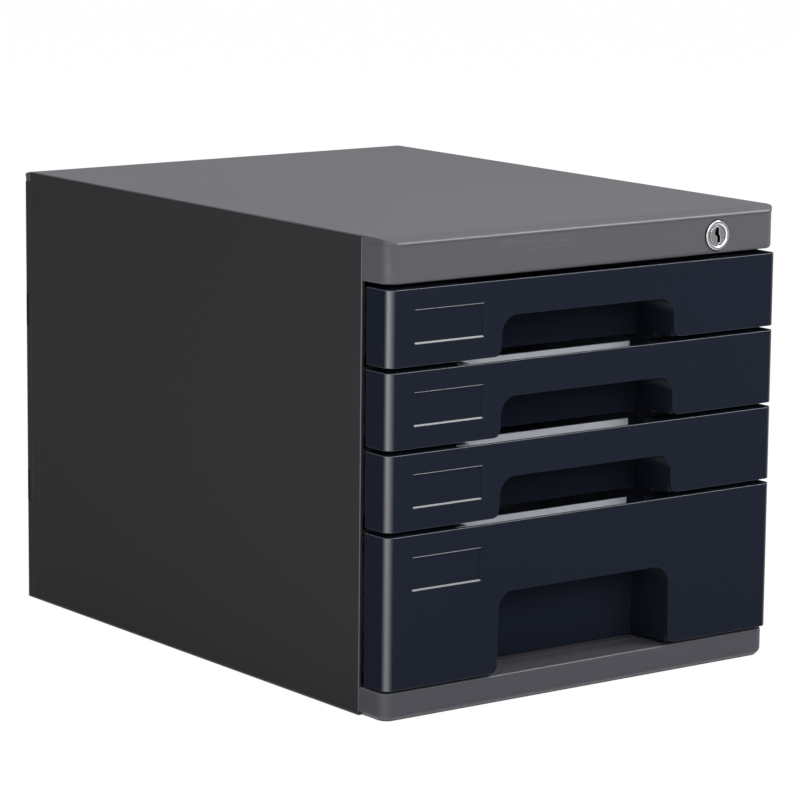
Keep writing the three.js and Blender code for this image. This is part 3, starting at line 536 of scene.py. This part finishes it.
def rollTool(values, rear, inset, drop):  # a block whose upper edge rolls down along a flat ellipse
    rollDepth, rollHeight = values["rearRoll" if rear else "frontRoll"]
    level = values["top"] - rollHeight
    depth, height = rollDepth - inset, rollHeight - drop
    front, back = values["front"] + inset, values["rear"] - inset
    wide = values["halfWidth"] + spare
    tool = addBlock("coverRoll", (-wide, front, level - values["rollReach"]), (wide, back, level + depth))
    edge = back if rear else front
    bevelEdges(tool, lambda middle, along: isAlong(along, "x") and middle.z > level and near(middle.y, edge),
               depth, 16)
    resizeFaces(tool, lambda normal: True, (0, 0, level), (1, 1, height / depth))
    return tool


def makeTopCover(values):
    half, front, rear, top = values["halfWidth"], values["front"], values["rear"], values["top"]
    bottom, step, wall = values["bottom"], values["step"], values["wall"]
    rollBottom = top - values["frontRoll"][1]
    radius, rearRadius = values["cornerRadius"], values["rearCornerRadius"]
    cover = roundedPlan("topCover", (-half, front, rollBottom), (half, rear, top), radius, rearRadius)
    bevelEdges(cover, lambda middle, along: near(middle.z, top) and isLevel(along), values["edgeRound"], 4)
    side = half - values["sideStep"]
    skirt = roundedPlan("coverSkirt", (-side, front + step, bottom),
                        (side, rear - step, rollBottom + overlap / 2), radius - step, rearRadius - step)
    bevelEdges(skirt, lambda middle, along: near(middle.z, bottom) and middle.y < values["returnEnd"]
               and abs(along.y) < 0.999, values["footRadius"], 6)
    joinOn(cover, skirt)
    inset = step + wall
    hollow = roundedPlan("coverHollow", (-half + inset, front + inset, bottom - spare),
                         (half - inset, rear - inset, top - wall), radius - inset, rearRadius - inset)
    for atRear in (False, True):
        keepWithin(hollow, rollTool(values, atRear, inset, wall))
    cutOut(cover, hollow)
    low, returns = bottom - spare, (values["returnEnd"], values["rearReturnStart"])
    cutOut(cover, addBlock("behindReturns", (-half - spare, returns[0], low),
                           (half + spare, returns[1], top - wall)))
    cutOut(cover, addBlock("underSkirt", (-half - spare, returns[1] - spare, low),
                           (half + spare, rear + spare, top - values["rearSkirt"])))
    for side in (-1, 1):
        cutOut(cover, sideBlock("rebate", side, (half - values["rebateWidth"], half + spare), returns,
                                (top - wall - spare, top - values["roofEdge"])))
    addGussets(cover, values)
    for atRear in (False, True):
        keepWithin(cover, rollTool(values, atRear, 0, 0))
    lockPlace, (seatRadius, seatDepth) = (values["lockX"], front, values["lockZ"]), values["lockSeat"]
    cutOut(cover, addRound("lockHole", lockPlace, values["lockHole"], values["lockHoleLength"], "y"))
    cutOut(cover, addRound("lockSeat", lockPlace, seatRadius, 2 * seatDepth, "y"))
    completePiece(cover, values["softEdge"], "cabinet", "top_cover", capPlastic)
    return cover


def addGussets(cover, values):  # stiffening webs behind the fascia, one on each side of the lock
    inset = values["step"] + values["wall"]
    face, side = values["front"] + inset, values["halfWidth"] - inset
    spacing, thick, depth = values["gussetSpacing"], values["gussetWall"], values["gussetDepth"]
    last = values["lockX"] - spacing / 2
    count = math.ceil((last + side) / spacing)
    places = [last + spacing] + [(last + side) * (index + 1) / count - side for index in range(count)]
    low, high = values["bottom"] + values["gussetFoot"], values["top"] - values["wall"] / 2
    for x in places:
        gusset = addBlock("gusset", (x - thick / 2, face - values["gussetSink"], low),
                          (x + thick / 2, face + depth, high))
        moveEdges(gusset, lambda middle, along: near(middle.z, low) and near(middle.y, face + depth)
                  and isAlong(along, "x"), (0, thick - depth, 0))
        joinOn(cover, gusset)


topCover = makeTopCover(coverValues)
print("Top cover made")


# the drawer fronts

frontValues = {
    "halfWidth": 149.6, "face": -203.0, "pieceBack": -181.0, "wall": 2.5, "flange": 2.2, "cornerRadius": 5.6,
    "edgeRadius": 0.42, "handleHalf": 67.0, "handleDraft": 0.6, "handleRadius": 11.0, "flare": 5.0,
    "pocketDepth": 36.0, "linerWall": 2.0, "label": (-130.8, -80.1), "labelHeight": 19.8, "labelDepth": 0.8,
    "labelLedge": 1.1, "beadWall": 0.3, "beadSlope": 0.45, "beadRise": 0.1, "beadDepth": 0.5,
    "softEdge": 0.22, "openHalf": 95.8, "mouthRoundLength": 20.0, "clipOffset": 104.0, "clipHalf": 6.3,
    "ribInset": 1.1, "webWall": 1.6, "webRise": 9.0, "webs": (-33.5, 0.0, 33.5), "screens": (-83.4, 63.4),
    "screenBack": -177.2, "screenFoot": 2.0, "screenGap": 0.1, "cheek": ((63.4, -182.0), (65.3, -165.2)),
    "shallow": {"height": 45.5, "handle": 24.3, "labelDrop": 12.85},
    "deep": {"height": 91.8, "handle": 49.4, "labelDrop": 13.8},
}


def frontSizes(number):  # the lowest drawer is the deep one
    return frontValues["deep" if number == 4 else "shallow"]


def handleTool(name, values, bottom, handleTop, front, back, outer):
    half = values["handleHalf"] + outer
    upper = handleTop + outer
    tool = addBlock(name, (-half, front, bottom), (half, back, upper))
    for side in (-1, 1):  # the draft: narrower towards the top
        moveEdges(tool, lambda middle, along: near(middle.z, upper) and near(middle.x, side * half),
                  (-side * values["handleDraft"], 0, 0))
    bevelEdges(tool, lambda middle, along: isAlong(along, "y") and near(middle.z, upper),
               values["handleRadius"] + outer, 12)
    return tool


def addRibs(front, values, bottom, top, handleTop):  # pairs for the tray's clips, webs over the liner
    face, thick = values["face"], values["webWall"]
    ribStart, inset = face + values["wall"] / 2, values["ribInset"]
    for side in (-1, 1):
        for hand in (-1, 1):
            start = values["clipOffset"] + hand * values["clipHalf"]
            joinOn(front, sideBlock("clipRib", side, (start, start + hand * thick),
                                    (ribStart, values["pieceBack"]), (bottom + inset, top - inset)))
    webTop = min(handleTop + values["linerWall"] + values["webRise"], top - values["webRise"])
    rear = face + values["pocketDepth"] + values["linerWall"]
    for x in values["webs"]:
        web = addBlock("web", (x - thick / 2, ribStart, handleTop + overlap), (x + thick / 2, rear, webTop))
        moveEdges(web, lambda middle, along: near(middle.z, webTop) and near(middle.y, rear)
                  and isAlong(along, "x"), (0, face + values["wall"] + overlap / 2 - rear, 0))
        joinOn(front, web)
    screenTop = top - values["flange"] - values["screenGap"]
    for edge in values["screens"]:  # they close the gap before the tray's front wall
        joinOn(front, sideBlock("screen", math.copysign(1, edge),
                                (abs(edge), values["clipOffset"] - values["clipHalf"]),
                                (values["pieceBack"] - overlap, values["screenBack"]),
                                (bottom + values["screenFoot"], screenTop)))
    (left, start), (right, end) = values["cheek"]
    joinOn(front, addBlock("cheek", (left, start, handleTop + overlap), (right, end, screenTop)))


def slopedTool(values, low, high, depth, slope):  # cuts a recess whose lower side slopes inwards and up
    face, (left, right) = values["face"], values["label"]
    tool = addBlock("recess", (left, face - depth, low - slope), (right, face + depth, high))
    moveEdges(tool, lambda middle, along: middle.y > face and near(middle.z, low - slope)
              and isAlong(along, "x"), (0, 0, 2 * slope))
    return tool


def makeDrawerFront(number, values):
    low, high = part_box(f"drawer_front_{number}")
    top, trayBottom = high.z / mm, low.z / mm
    sizes = frontSizes(number)
    bottom, labelTop = top - sizes["height"], top - sizes["labelDrop"]
    handleTop = bottom + sizes["handle"]
    half, face, back, wall = values["halfWidth"], values["face"], values["pieceBack"], values["wall"]
    radius, flange, pocketBack = values["cornerRadius"], values["flange"], face + values["pocketDepth"]
    front = roundedPlan(f"drawerFront{number}", (-half, face, bottom), (half, back, top), radius, 0, 14)
    bevelEdges(front, lambda middle, along: isLevel(along) and not near(middle.y, back),
               values["edgeRadius"], 4)
    cutOut(front, roundedPlan("frontHollow", (-half + wall, face + wall, bottom + flange),
                              (half - wall, back + spare, top - flange), radius - wall, 0, 8))
    cutOut(front, addBlock("overLiner", (-values["openHalf"], face + wall, top - flange - spare),
                           (values["openHalf"], back + spare, top + spare)))
    liner = handleTool("liner", values, trayBottom, handleTop, face + wall / 2,
                       pocketBack + values["linerWall"], values["linerWall"])
    cutOut(liner, addBlock("belowFront", (-half, face - spare, trayBottom - spare), (half, back, bottom)))
    joinOn(front, liner)
    addRibs(front, values, bottom, top, handleTop)
    cutOut(front, handleTool("pocket", values, trayBottom - 2 * spare, handleTop, face - spare,
                             pocketBack, 0))
    flare = values["flare"]
    reach = values["handleHalf"] + flare
    mouth = addBlock("mouth", (-reach, face - spare, bottom - spare), (reach, face + wall, bottom + flare))
    for side in (-1, 1):
        cutOut(mouth, addRound("flareRound", (side * reach, face, bottom + flare), flare,
                               values["mouthRoundLength"], "y", 48))
    cutOut(front, mouth)
    labelBottom, beadBottom = labelTop - values["labelHeight"], labelTop + values["beadWall"]
    cutOut(front, slopedTool(values, labelBottom, labelTop, values["labelDepth"], values["labelLedge"]))
    cutOut(front, slopedTool(values, beadBottom, beadBottom + values["beadSlope"] + values["beadRise"],
                             values["beadDepth"], values["beadSlope"]))
    completePiece(front, values["softEdge"], f"drawer_{number}", f"drawer_front_{number}",
                  navyPlastic)
    return front


drawerFronts = [makeDrawerFront(number, frontValues) for number in (1, 2, 3, 4)]
print("Drawer fronts made:", len(drawerFronts))


# the trays

trayValues = {
    "halfWidth": 135.5, "front": -177.0, "rear": 191.9, "wall": 1.8, "cornerRadius": 4.0,
    "notchHalf": 69.3, "notchBack": -164.7, "rimWidth": 1.5, "rimHeight": 3.0, "rimDrop": 3.6,
    "floorRadius": 1.2, "notchRimRoom": 0.2, "clipOffset": 104.0, "clipHalf": 6.0, "clipRise": 7.0,
    "clipReach": 16.0, "lugFront": 101.3, "lugLength": 6.0, "lugWidth": 7.5, "lugHeight": 10.0,
    "lugRise": 16.0, "catchOuter": 144.0, "catch": (-169.5, -163.5), "catchRise": 12.0,
    "catchHeight": 8.0, "softEdge": 0.3,
}


def trayBlock(name, values, inset, rim, bottom, top):
    half, rear = values["halfWidth"] - inset + rim, values["rear"] - inset + rim
    radius = values["cornerRadius"] - inset + rim
    piece = roundedPlan(name, (-half, values["front"] + inset, bottom), (half, rear, top), 0, radius, 8)
    notchHalf, notchBack = values["notchHalf"] + inset, values["notchBack"] + inset
    cutOut(piece, addBlock("notch", (-notchHalf, values["front"] - spare, bottom - spare),
                           (notchHalf, notchBack, top + spare)))
    return piece


def makeTray(number, values):
    low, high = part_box(f"drawer_tray_{number}")
    bottom, top = low.z / mm, high.z / mm
    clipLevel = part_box(f"drawer_front_{number}")[1].z / mm - frontSizes(number)["height"] / 2
    tray = trayBlock(f"drawerTray{number}", values, 0, 0, bottom, top)
    joinOn(tray, trayBlock("trayRim", values, 0, values["rimWidth"], top - values["rimHeight"], top))
    wall, half, front = values["wall"], values["halfWidth"], values["front"]
    inside = trayBlock("trayInside", values, wall, 0, bottom + wall, top + spare)
    bevelEdges(inside, lambda middle, along: near(middle.z, bottom + wall) and isLevel(along),
               values["floorRadius"], 4)
    cutOut(tray, inside)
    if number == 1:  # the notch's rim stays below what the gap under the cover shows
        room = wall + values["notchRimRoom"]
        reach = values["notchHalf"] + room
        cutOut(tray, addBlock("notchRim", (-reach, front - spare, top - values["rimDrop"]),
                              (reach, values["notchBack"] + room, top + spare)))
    clip, rise, outer = values["clipOffset"], values["clipRise"], half + values["lugWidth"]
    lugLow, lugRear = bottom + values["lugRise"], values["lugFront"] + values["lugLength"]
    for side in (-1, 1):
        joinOn(tray, sideBlock("clip", side, (clip - values["clipHalf"], clip + values["clipHalf"]),
                               (front - values["clipReach"], front + wall / 2),
                               (clipLevel - rise, clipLevel + rise)))
        lug = sideBlock("lug", side, (half - wall / 2, outer), (values["lugFront"], lugRear),
                        (lugLow, lugLow + values["lugHeight"]))
        moveEdges(lug, lambda middle, along: near(middle.x, side * outer) and near(middle.y, lugRear)
                  and isAlong(along, "z"), (-side * values["lugWidth"] / 2, 0, 0))
        joinOn(tray, lug)
    catchLow = bottom + values["catchRise"]
    joinOn(tray, addBlock("catch", (half - wall / 2, values["catch"][0], catchLow),
                          (values["catchOuter"], values["catch"][1], catchLow + values["catchHeight"])))
    completePiece(tray, values["softEdge"], f"drawer_{number}", f"drawer_tray_{number}", trayPlastic)
    return tray


trays = [makeTray(number, trayValues) for number in (1, 2, 3, 4)]
print("Trays made:", len(trays))


# the lip below the deep drawer

lipValues = {
    "halfWidth": 150.0, "front": -201.5, "back": -177.0, "bottom": 1.0, "top": 18.4, "cornerRadius": 9.0,
    "bottomRadius": 5.0, "topRadius": 1.2, "wall": 2.4, "ribWall": 1.6, "ribCount": 8, "ribFoot": 3.9,
    "softEdge": 0.25,
}


def makeBaseLip(values):
    half, front, back = values["halfWidth"], values["front"], values["back"]
    bottom, top, wall = values["bottom"], values["top"], values["wall"]
    lip = roundedPlan("baseLip", (-half, front, bottom), (half, back, top), values["cornerRadius"], 0, 14)
    for level, radius, steps in ((bottom, values["bottomRadius"], 10), (top, values["topRadius"], 5)):
        bevelEdges(lip, lambda middle, along: near(middle.z, level) and not near(middle.y, back),
                   radius, steps)
    inside, thick = half - wall, values["ribWall"]
    cutOut(lip, roundedPlan("lipHollow", (-inside, front + wall, bottom - spare),
                            (inside, back + spare, top - wall), values["cornerRadius"] - wall, 0))
    for index in range(values["ribCount"]):
        x = (index + 1) / (values["ribCount"] + 1) * 2 * inside - inside
        joinOn(lip, addBlock("lipRib", (x - thick / 2, front + wall / 2, values["ribFoot"]),
                             (x + thick / 2, back, top - wall / 2)))
    completePiece(lip, values["softEdge"], "cabinet", "base_lip", basePlastic)
    return lip


baseLip = makeBaseLip(lipValues)
print("Base lip made")


# the side panels, with the ledges that the trays run on

panelValues = {
    "outer": 150.0, "inner": 147.4, "front": -176.7, "rear": 192.7, "bottom": 2.6, "top": 285.7,
    "frontRadius": 0.7, "ledgeTops": (18.6, 112.1, 160.6, 209.1), "topLedge": 256.0, "ledgeWall": 2.2,
    "ledgeInner": 126.0, "guide": (136.1, 137.9), "guideHeight": 4.0, "stopInner": 139.25,
    "stop": (-156.7, -154.2), "bossYs": (-131.0, 163.0), "bossX": 144.4, "bossRadius": 4.2,
    "pilotRadius": 1.8, "bossFoot": 3.9, "pilotTop": 12.6, "pilotLength": 12.0, "tongue": (144.8, 146.8),
    "tongueHalf": 14.0, "tongueStart": 189.7, "tongueEnd": 199.0, "nubSink": 1.0, "windowY": 197.05,
    "windowZs": (77.0, 195.25), "nubHalf": (1.9, 10.7), "nubOuter": 148.8,
    "barSlot": ((138.0, -173.0, 15.4), (147.4, -158.4, 257.0)), "softEdge": 0.22,
}


def obroundTool(name, side, xs, y, z, half, roundShare=0.995):  # a slot or nub with round ends, long in z
    radius, reach = half
    tool = sideBlock(name, side, xs, (y - radius, y + radius), (z - reach, z + reach))
    bevelEdges(tool, lambda middle, along: isAlong(along, "x"), radius * roundShare, 10)
    return tool


def makeSidePanel(side, node, values):
    front, rear, inner = values["front"], values["rear"], values["inner"]
    thick, body = values["ledgeWall"], inner + overlap
    panel = sideBlock("sidePanel", side, (inner, values["outer"]), (front, rear),
                      (values["bottom"], values["top"]))
    panel.name = node.replace("_s", "S").replace("_p", "P")
    bevelEdges(panel, lambda middle, along: isAlong(along, "z") and near(middle.y, front),
               values["frontRadius"], 4)
    ledges = values["ledgeTops"] + (values["topLedge"],)
    for level in ledges:
        joinOn(panel, sideBlock("ledge", side, (values["ledgeInner"], body), (front, rear),
                                (level - thick, level)))
    for level, above in zip(ledges, ledges[1:]):
        joinOn(panel, sideBlock("guide", side, values["guide"], (front, rear),
                                (level - overlap, level + values["guideHeight"])))
        joinOn(panel, sideBlock("stop", side, (values["stopInner"], body), values["stop"],
                                (level - thick / 2, above - thick / 2)))
    foot, head, pilot = values["bossFoot"], ledges[0] - thick / 2, values["pilotLength"]
    for y in values["bossYs"]:
        joinOn(panel, addRound("boss", (side * values["bossX"], y, (foot + head) / 2), values["bossRadius"],
                               head - foot, "z", 32))
        cutOut(panel, addRound("pilot", (side * values["bossX"], y, values["pilotTop"] - pilot / 2),
                               values["pilotRadius"], pilot, "z", 24))
    start, end, root = values["tongueStart"], values["tongueEnd"], values["tongue"][0]
    for z in values["windowZs"]:
        levels = (z - values["tongueHalf"], z + values["tongueHalf"])
        joinOn(panel, sideBlock("tongueRoot", side, (root, body), (start, rear), levels))
        joinOn(panel, sideBlock("tongue", side, values["tongue"], (start, end), levels))
        joinOn(panel, obroundTool("nub", side, (root + values["nubSink"], values["nubOuter"]),
                                  values["windowY"], z, values["nubHalf"]))
    if side > 0:  # the right-hand ledges guide the lock bar
        cutOut(panel, addBlock("barSlot", *values["barSlot"]))
    completePiece(panel, values["softEdge"], "cabinet", node, shellPlastic)
    return panel


sidePanels = [makeSidePanel(side, node, panelValues)
              for side, node in ((-1, "left_side_panel"), (1, "right_side_panel"))]
print("Side panels made")


# the back panel, whose returns wrap the rear corners

backValues = {
    "halfWidth": 150.0, "front": 193.0, "rear": 203.0, "bottom": 2.6, "top": 280.2, "cornerRadius": 5.5,
    "wall": 2.6, "ribWall": 1.6, "ribHeight": 2.5, "ribCount": 7, "ribLevels": (11.6, 273.7),
    "windowHalf": (3.0, 11.2), "softEdge": 0.3,
}


def makeBackPanel(values):
    half, front, rear, wall = values["halfWidth"], values["front"], values["rear"], values["wall"]
    bottom, top, inner = values["bottom"], values["top"], values["halfWidth"] - values["wall"]
    panel = roundedPlan("backPanel", (-half, front, bottom), (half, rear, top), 0, values["cornerRadius"], 12)
    cutOut(panel, roundedPlan("backHollow", (-inner, front - spare, bottom - spare),
                              (inner, rear - wall, top + spare), 0, values["cornerRadius"] - wall, 12))
    thick, (ribBottom, ribTop) = values["ribWall"], values["ribLevels"]
    for index in range(values["ribCount"]):
        x = ((index + 1) / (values["ribCount"] + 1) - 0.5) * 2 * inner
        joinOn(panel, addBlock("backRib", (x - thick / 2, rear - wall - values["ribHeight"], ribBottom),
                               (x + thick / 2, rear - wall / 2, ribTop)))
    for z in panelValues["windowZs"]:
        for side in (-1, 1):
            cutOut(panel, obroundTool("window", side, (inner - 2 * spare, half + spare),
                                      panelValues["windowY"], z, values["windowHalf"]))
    completePiece(panel, values["softEdge"], "cabinet", "back_panel", shellPlastic)
    return panel


backPanel = makeBackPanel(backValues)
print("Back panel made")


# the lock's housing and plug

lockValues = {
    "x": 100.6, "z": 271.7, "face": -203.0, "bezelRadius": 9.2, "bezelBack": -202.1, "bezelRound": 0.8,
    "barrelRadius": 7.9, "rear": -179.0, "seatRadius": 6.6, "seatBack": -200.5, "boreRadius": 5.8,
    "plugFace": -202.4, "plugFaceRadius": 5.9, "plugShoulder": -200.8, "plugRadius": 5.5, "tailHalf": 2.5,
    "tailEnd": -176.7, "keyHalf": 1.15, "keyReach": 4.7, "keyDepth": 14.0, "screwRadius": 1.6,
    "screwDepth": 8.0, "shoulderSink": 0.2, "seatFlare": 1.3, "seatFlareDepth": 0.7, "softEdge": 0.16,
    "plugSoftEdge": 0.26,
}


def lockRound(name, values, radius, front, rear, sides=96):
    middle = (values["x"], (front + rear) / 2, values["z"])
    return addRound(name, middle, radius, abs(rear - front), "y", sides)


def makeLockHousing(values):
    face, rear, sink = values["face"], values["rear"], values["shoulderSink"]
    housing = lockRound("lockHousing", values, values["bezelRadius"], face, values["bezelBack"])
    bevelEdges(housing, lambda middle, along: near(middle.y, face), values["bezelRound"], 6)
    joinOn(housing, lockRound("barrel", values, values["barrelRadius"], values["bezelBack"] - sink, rear))
    cutOut(housing, lockRound("seat", values, values["seatRadius"], face - spare, values["seatBack"]))
    flare = lockRound("seatFlare", values, values["seatRadius"], face - spare,
                      face + values["seatFlareDepth"])
    resizeFaces(flare, lambda normal: normal.y < -0.9, (values["x"], face, values["z"]),
                (values["seatFlare"], 1, values["seatFlare"]))
    cutOut(housing, flare)
    cutOut(housing, lockRound("bore", values, values["boreRadius"], face - spare, rear + spare))
    completePiece(housing, values["softEdge"], "cabinet", "lock_housing", chromePlate, segments=3)
    return housing


def makeKeyway(values):  # the zig-zag slot: a block whose upper part steps left and lower part right
    face, half, reach = values["face"], values["keyHalf"], values["keyReach"]
    x, z = values["x"], values["z"]
    tool = addBlock("keyway", (x - half, face - spare, z - reach),
                    (x + half, face + values["keyDepth"], z + reach))
    openEdit(tool, "FACE")
    for level in (half, -half):
        bpy.ops.mesh.select_all(action="SELECT")
        bpy.ops.mesh.bisect(plane_co=(0, 0, (z + level) * mm), plane_no=(0, 0, 1))
    closeEdit()
    moveEdges(tool, lambda middle, along: isAlong(along, "y") and middle.z < z, (half, 0, 0))
    moveEdges(tool, lambda middle, along: isAlong(along, "y") and near(middle.z, z + half) and middle.x < x,
              (-half, 0, 0))
    return tool


def makeLockPlug(values):
    rear, half = values["rear"], values["tailHalf"]
    plug = lockRound("lockPlug", values, values["plugFaceRadius"], values["plugFace"], values["plugShoulder"])
    joinOn(plug, lockRound("rotor", values, values["plugRadius"],
                           values["plugShoulder"] - values["shoulderSink"], rear))
    joinOn(plug, addBlock("tail", (values["x"] - half, rear - overlap, values["z"] - half),
                          (values["x"] + half, values["tailEnd"], values["z"] + half)))
    cutOut(plug, makeKeyway(values))
    cutOut(plug, lockRound("screwHole", values, values["screwRadius"],
                           values["tailEnd"] - values["screwDepth"], values["tailEnd"] + spare, 24))
    completePiece(plug, values["plugSoftEdge"], "lock_cylinder", "lock_plug", plugPlate, segments=3)
    return plug


lockHousing = makeLockHousing(lockValues)
lockPlug = makeLockPlug(lockValues)
print("Lock made")


# the feet, and the screws that hold the side panels to the base

footValues = {
    "radius": 8.0, "height": 1.5, "edge": 0.4, "grooves": (6.2, 4.2, 2.2), "grooveWidth": 0.7,
    "grooveDepth": 0.35,
}
screwValues = {
    "headRadius": 3.0, "headHeight": 1.2, "shankRadius": 1.5, "length": 11.0, "crossHalf": 0.42,
    "crossReach": 1.9, "crossDepth": 0.7, "headEdge": 0.35, "shankSink": 0.1, "threads": 7,
    "threadDepth": 0.28, "threadStart": 0.6, "threadShare": 0.7, "threadTaper": 0.8,
}
corners = ("front_left", "front_right", "rear_left", "rear_right")


def copyTo(source, name, shift):
    activate(source)
    bpy.ops.object.duplicate(linked=False)
    piece = bpy.context.object
    piece.name = name
    piece.location = [value * mm for value in shift]
    applyPlace(piece)
    return piece


def placeCopies(source, prefix, nodePrefix, material):
    for corner in corners:
        low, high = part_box(f"{nodePrefix}_{corner}")
        middle = (low + high) / 2 / mm
        name = prefix + corner.title().replace("_", "")
        piece = copyTo(source, name, (middle.x, middle.y, low.z / mm))
        finishPiece(piece, "cabinet", f"{nodePrefix}_{corner}", material)
    bpy.data.objects.remove(source)


def makeFoot(values):
    height = values["height"]
    foot = addRound("footPattern", (0, 0, height / 2), values["radius"], height, "z", 48)
    bevelEdges(foot, lambda middle, along: near(middle.z, 0), values["edge"], 4)
    for radius in values["grooves"]:
        ring = addRound("ring", (0, 0, 0), radius, 2 * values["grooveDepth"], "z", 40)
        cutOut(ring, addRound("ringCore", (0, 0, 0), radius - values["grooveWidth"], 2 * spare, "z", 40))
        cutOut(foot, ring)
    tidyMesh(foot)
    shadeSmooth(foot)
    return foot


def makeScrew(values):
    head, length = values["headHeight"], values["length"]
    screw = addRound("screwPattern", (0, 0, head / 2), values["headRadius"], head, "z", 32)
    bevelEdges(screw, lambda middle, along: near(middle.z, 0), values["headEdge"], 4)
    pitch = (length - head - values["shankRadius"]) / values["threads"]
    joinOn(screw, addRound("shank", (0, 0, (head + length) / 2 - values["shankSink"]),
                           values["shankRadius"] - values["threadDepth"], length - head, "z", 24))
    taper = values["threadTaper"]
    for index in range(values["threads"]):
        level = head + pitch * (index + values["threadStart"])
        thread = addRound("thread", (0, 0, level), values["shankRadius"],
                          pitch * values["threadShare"], "z", 24)
        for face in (-1, 1):
            resizeFaces(thread, lambda normal: normal.z * face > 0.9, (0, 0, level), (taper, taper, 1))
        joinOn(screw, thread)
    long, narrow = values["crossReach"], values["crossHalf"]
    for x, y in ((long, narrow), (narrow, long)):
        cutOut(screw, addBlock("cross", (-x, -y, -spare), (x, y, values["crossDepth"])))
    tidyMesh(screw)
    shadeSmooth(screw)
    return screw


placeCopies(makeFoot(footValues), "foot", "foot", footRubber)
placeCopies(makeScrew(screwValues), "baseScrew", "base_screw", zincSteel)
print("Feet and screws made")


# the camera, at the photograph's viewing angle

cameraValues = {
    "azimuth": -36.683, "elevation": 10.1504, "roll": 0.5573, "focalPixels": 3766.5164, "framePixels": 800,
    "sideways": -111.4601, "upwards": 176.5343, "distance": 2293.5949, "frontPlane": -203.0, "sensor": 36.0,
    "farEnd": 50.0,
}


def addCamera(values):
    azimuth, elevation, roll = (math.radians(values[key]) for key in ("azimuth", "elevation", "roll"))
    backwards = Vector((math.sin(azimuth) * math.cos(elevation), -math.cos(azimuth) * math.cos(elevation),
                        math.sin(elevation)))
    level = (-backwards).cross(Vector((0, 0, 1))).normalized()
    upright = level.cross(-backwards)
    right = level * math.cos(roll) + upright * math.sin(roll)
    up = upright * math.cos(roll) - level * math.sin(roll)
    place = right * values["sideways"] + up * values["upwards"] + backwards * values["distance"]
    place.y += values["frontPlane"]
    bpy.ops.object.camera_add()
    camera = bpy.context.object
    camera.name = "photoCamera"
    camera.data.sensor_width = values["sensor"]
    camera.data.lens = values["focalPixels"] / values["framePixels"] * values["sensor"]
    turn = Matrix((right, up, backwards)).transposed().to_4x4()
    camera.matrix_world = Matrix.Translation(place * mm) @ turn
    camera.data.clip_end = values["farEnd"]
    bpy.context.scene.camera = camera


addCamera(cameraValues)


# the studio: a pale floor, soft lamps and an even surround

studioValues = {
    "world": 0.26, "floorShare": 0.9, "glow": 1.08, "floorSize": 16.0, "floorGrey": 0.8,
    "floorRoughness": 0.9,
    "lamps": {  # place, aim and size in metres, and watts
        "keySoft": ((1.3, -0.95, 1.75), (0.0, -0.1, 0.15), (1.1, 0.9), 23.0),
        "frontSoft": ((0.1, -1.9, 1.0), (0.0, -0.1, 0.15), (1.9, 0.8), 18.0),
        "overSoft": ((0.0, 0.5, 1.9), (0.0, 0.1, 0.2), (1.0, 1.0), 15.0),
        "leftStrip": ((-0.8, -0.34, 0.24), (-0.15, -0.2, 0.14), (0.7, 0.45), 1.4),
    },
}


def addLamp(name, place, aim, size, watts):
    bpy.ops.object.light_add(type="AREA", location=place)
    lamp = bpy.context.object
    lamp.name = name
    lamp.data.shape = "RECTANGLE"
    lamp.data.size, lamp.data.size_y = size
    lamp.data.energy = watts
    towards = Vector(aim) - Vector(place)
    lamp.rotation_euler = towards.to_track_quat("-Z", "Y").to_euler()


def seenDirectly(tree):  # 1 for what the camera, a mirror or a pane shows
    path = addNode(tree, "ShaderNodeLightPath")
    both = mathNode(tree, "MAXIMUM", path.outputs["Is Camera Ray"], path.outputs["Is Glossy Ray"])
    return mathNode(tree, "MAXIMUM", both, path.outputs["Is Transmission Ray"])


def addStudio(values):
    for name, settings in values["lamps"].items():
        addLamp(name, *settings)
    world = bpy.data.worlds.new("studioWorld")
    bpy.context.scene.world = world
    world.use_nodes = True
    tree = world.node_tree
    background = tree.nodes["Background"]
    background.inputs["Color"].default_value = (1, 1, 1, 1)
    seen = seenDirectly(tree)
    strength = mathNode(tree, "ADD", mathNode(tree, "MULTIPLY", seen, 1 - values["world"]), values["world"])
    feed(tree, background.inputs["Strength"], strength)
    deselectAll()
    bpy.ops.mesh.primitive_plane_add(size=values["floorSize"])
    floor = bpy.context.object
    floor.name = "studioFloor"
    material = bpy.data.materials.new("studioFloorWhite")
    material.use_nodes = True
    tree = material.node_tree
    shader = tree.nodes["Principled BSDF"]
    feed(tree, shader.inputs["Base Color"], (*[values["floorGrey"]] * 3, 1))
    feed(tree, shader.inputs["Roughness"], values["floorRoughness"])
    feed(tree, shader.inputs["Specular IOR Level"], 0.0)
    glow = addNode(tree, "ShaderNodeEmission", {"Strength": values["glow"]})
    share = mathNode(tree, "MULTIPLY", seenDirectly(tree), values["floorShare"])
    mix = addNode(tree, "ShaderNodeMixShader", {0: share, 1: shader.outputs[0], 2: glow.outputs[0]})
    feed(tree, tree.nodes["Material Output"].inputs["Surface"], mix.outputs[0])
    floor.data.materials.append(material)


addStudio(studioValues)
bpy.context.scene.view_settings.view_transform = "Standard"
print("Studio set")
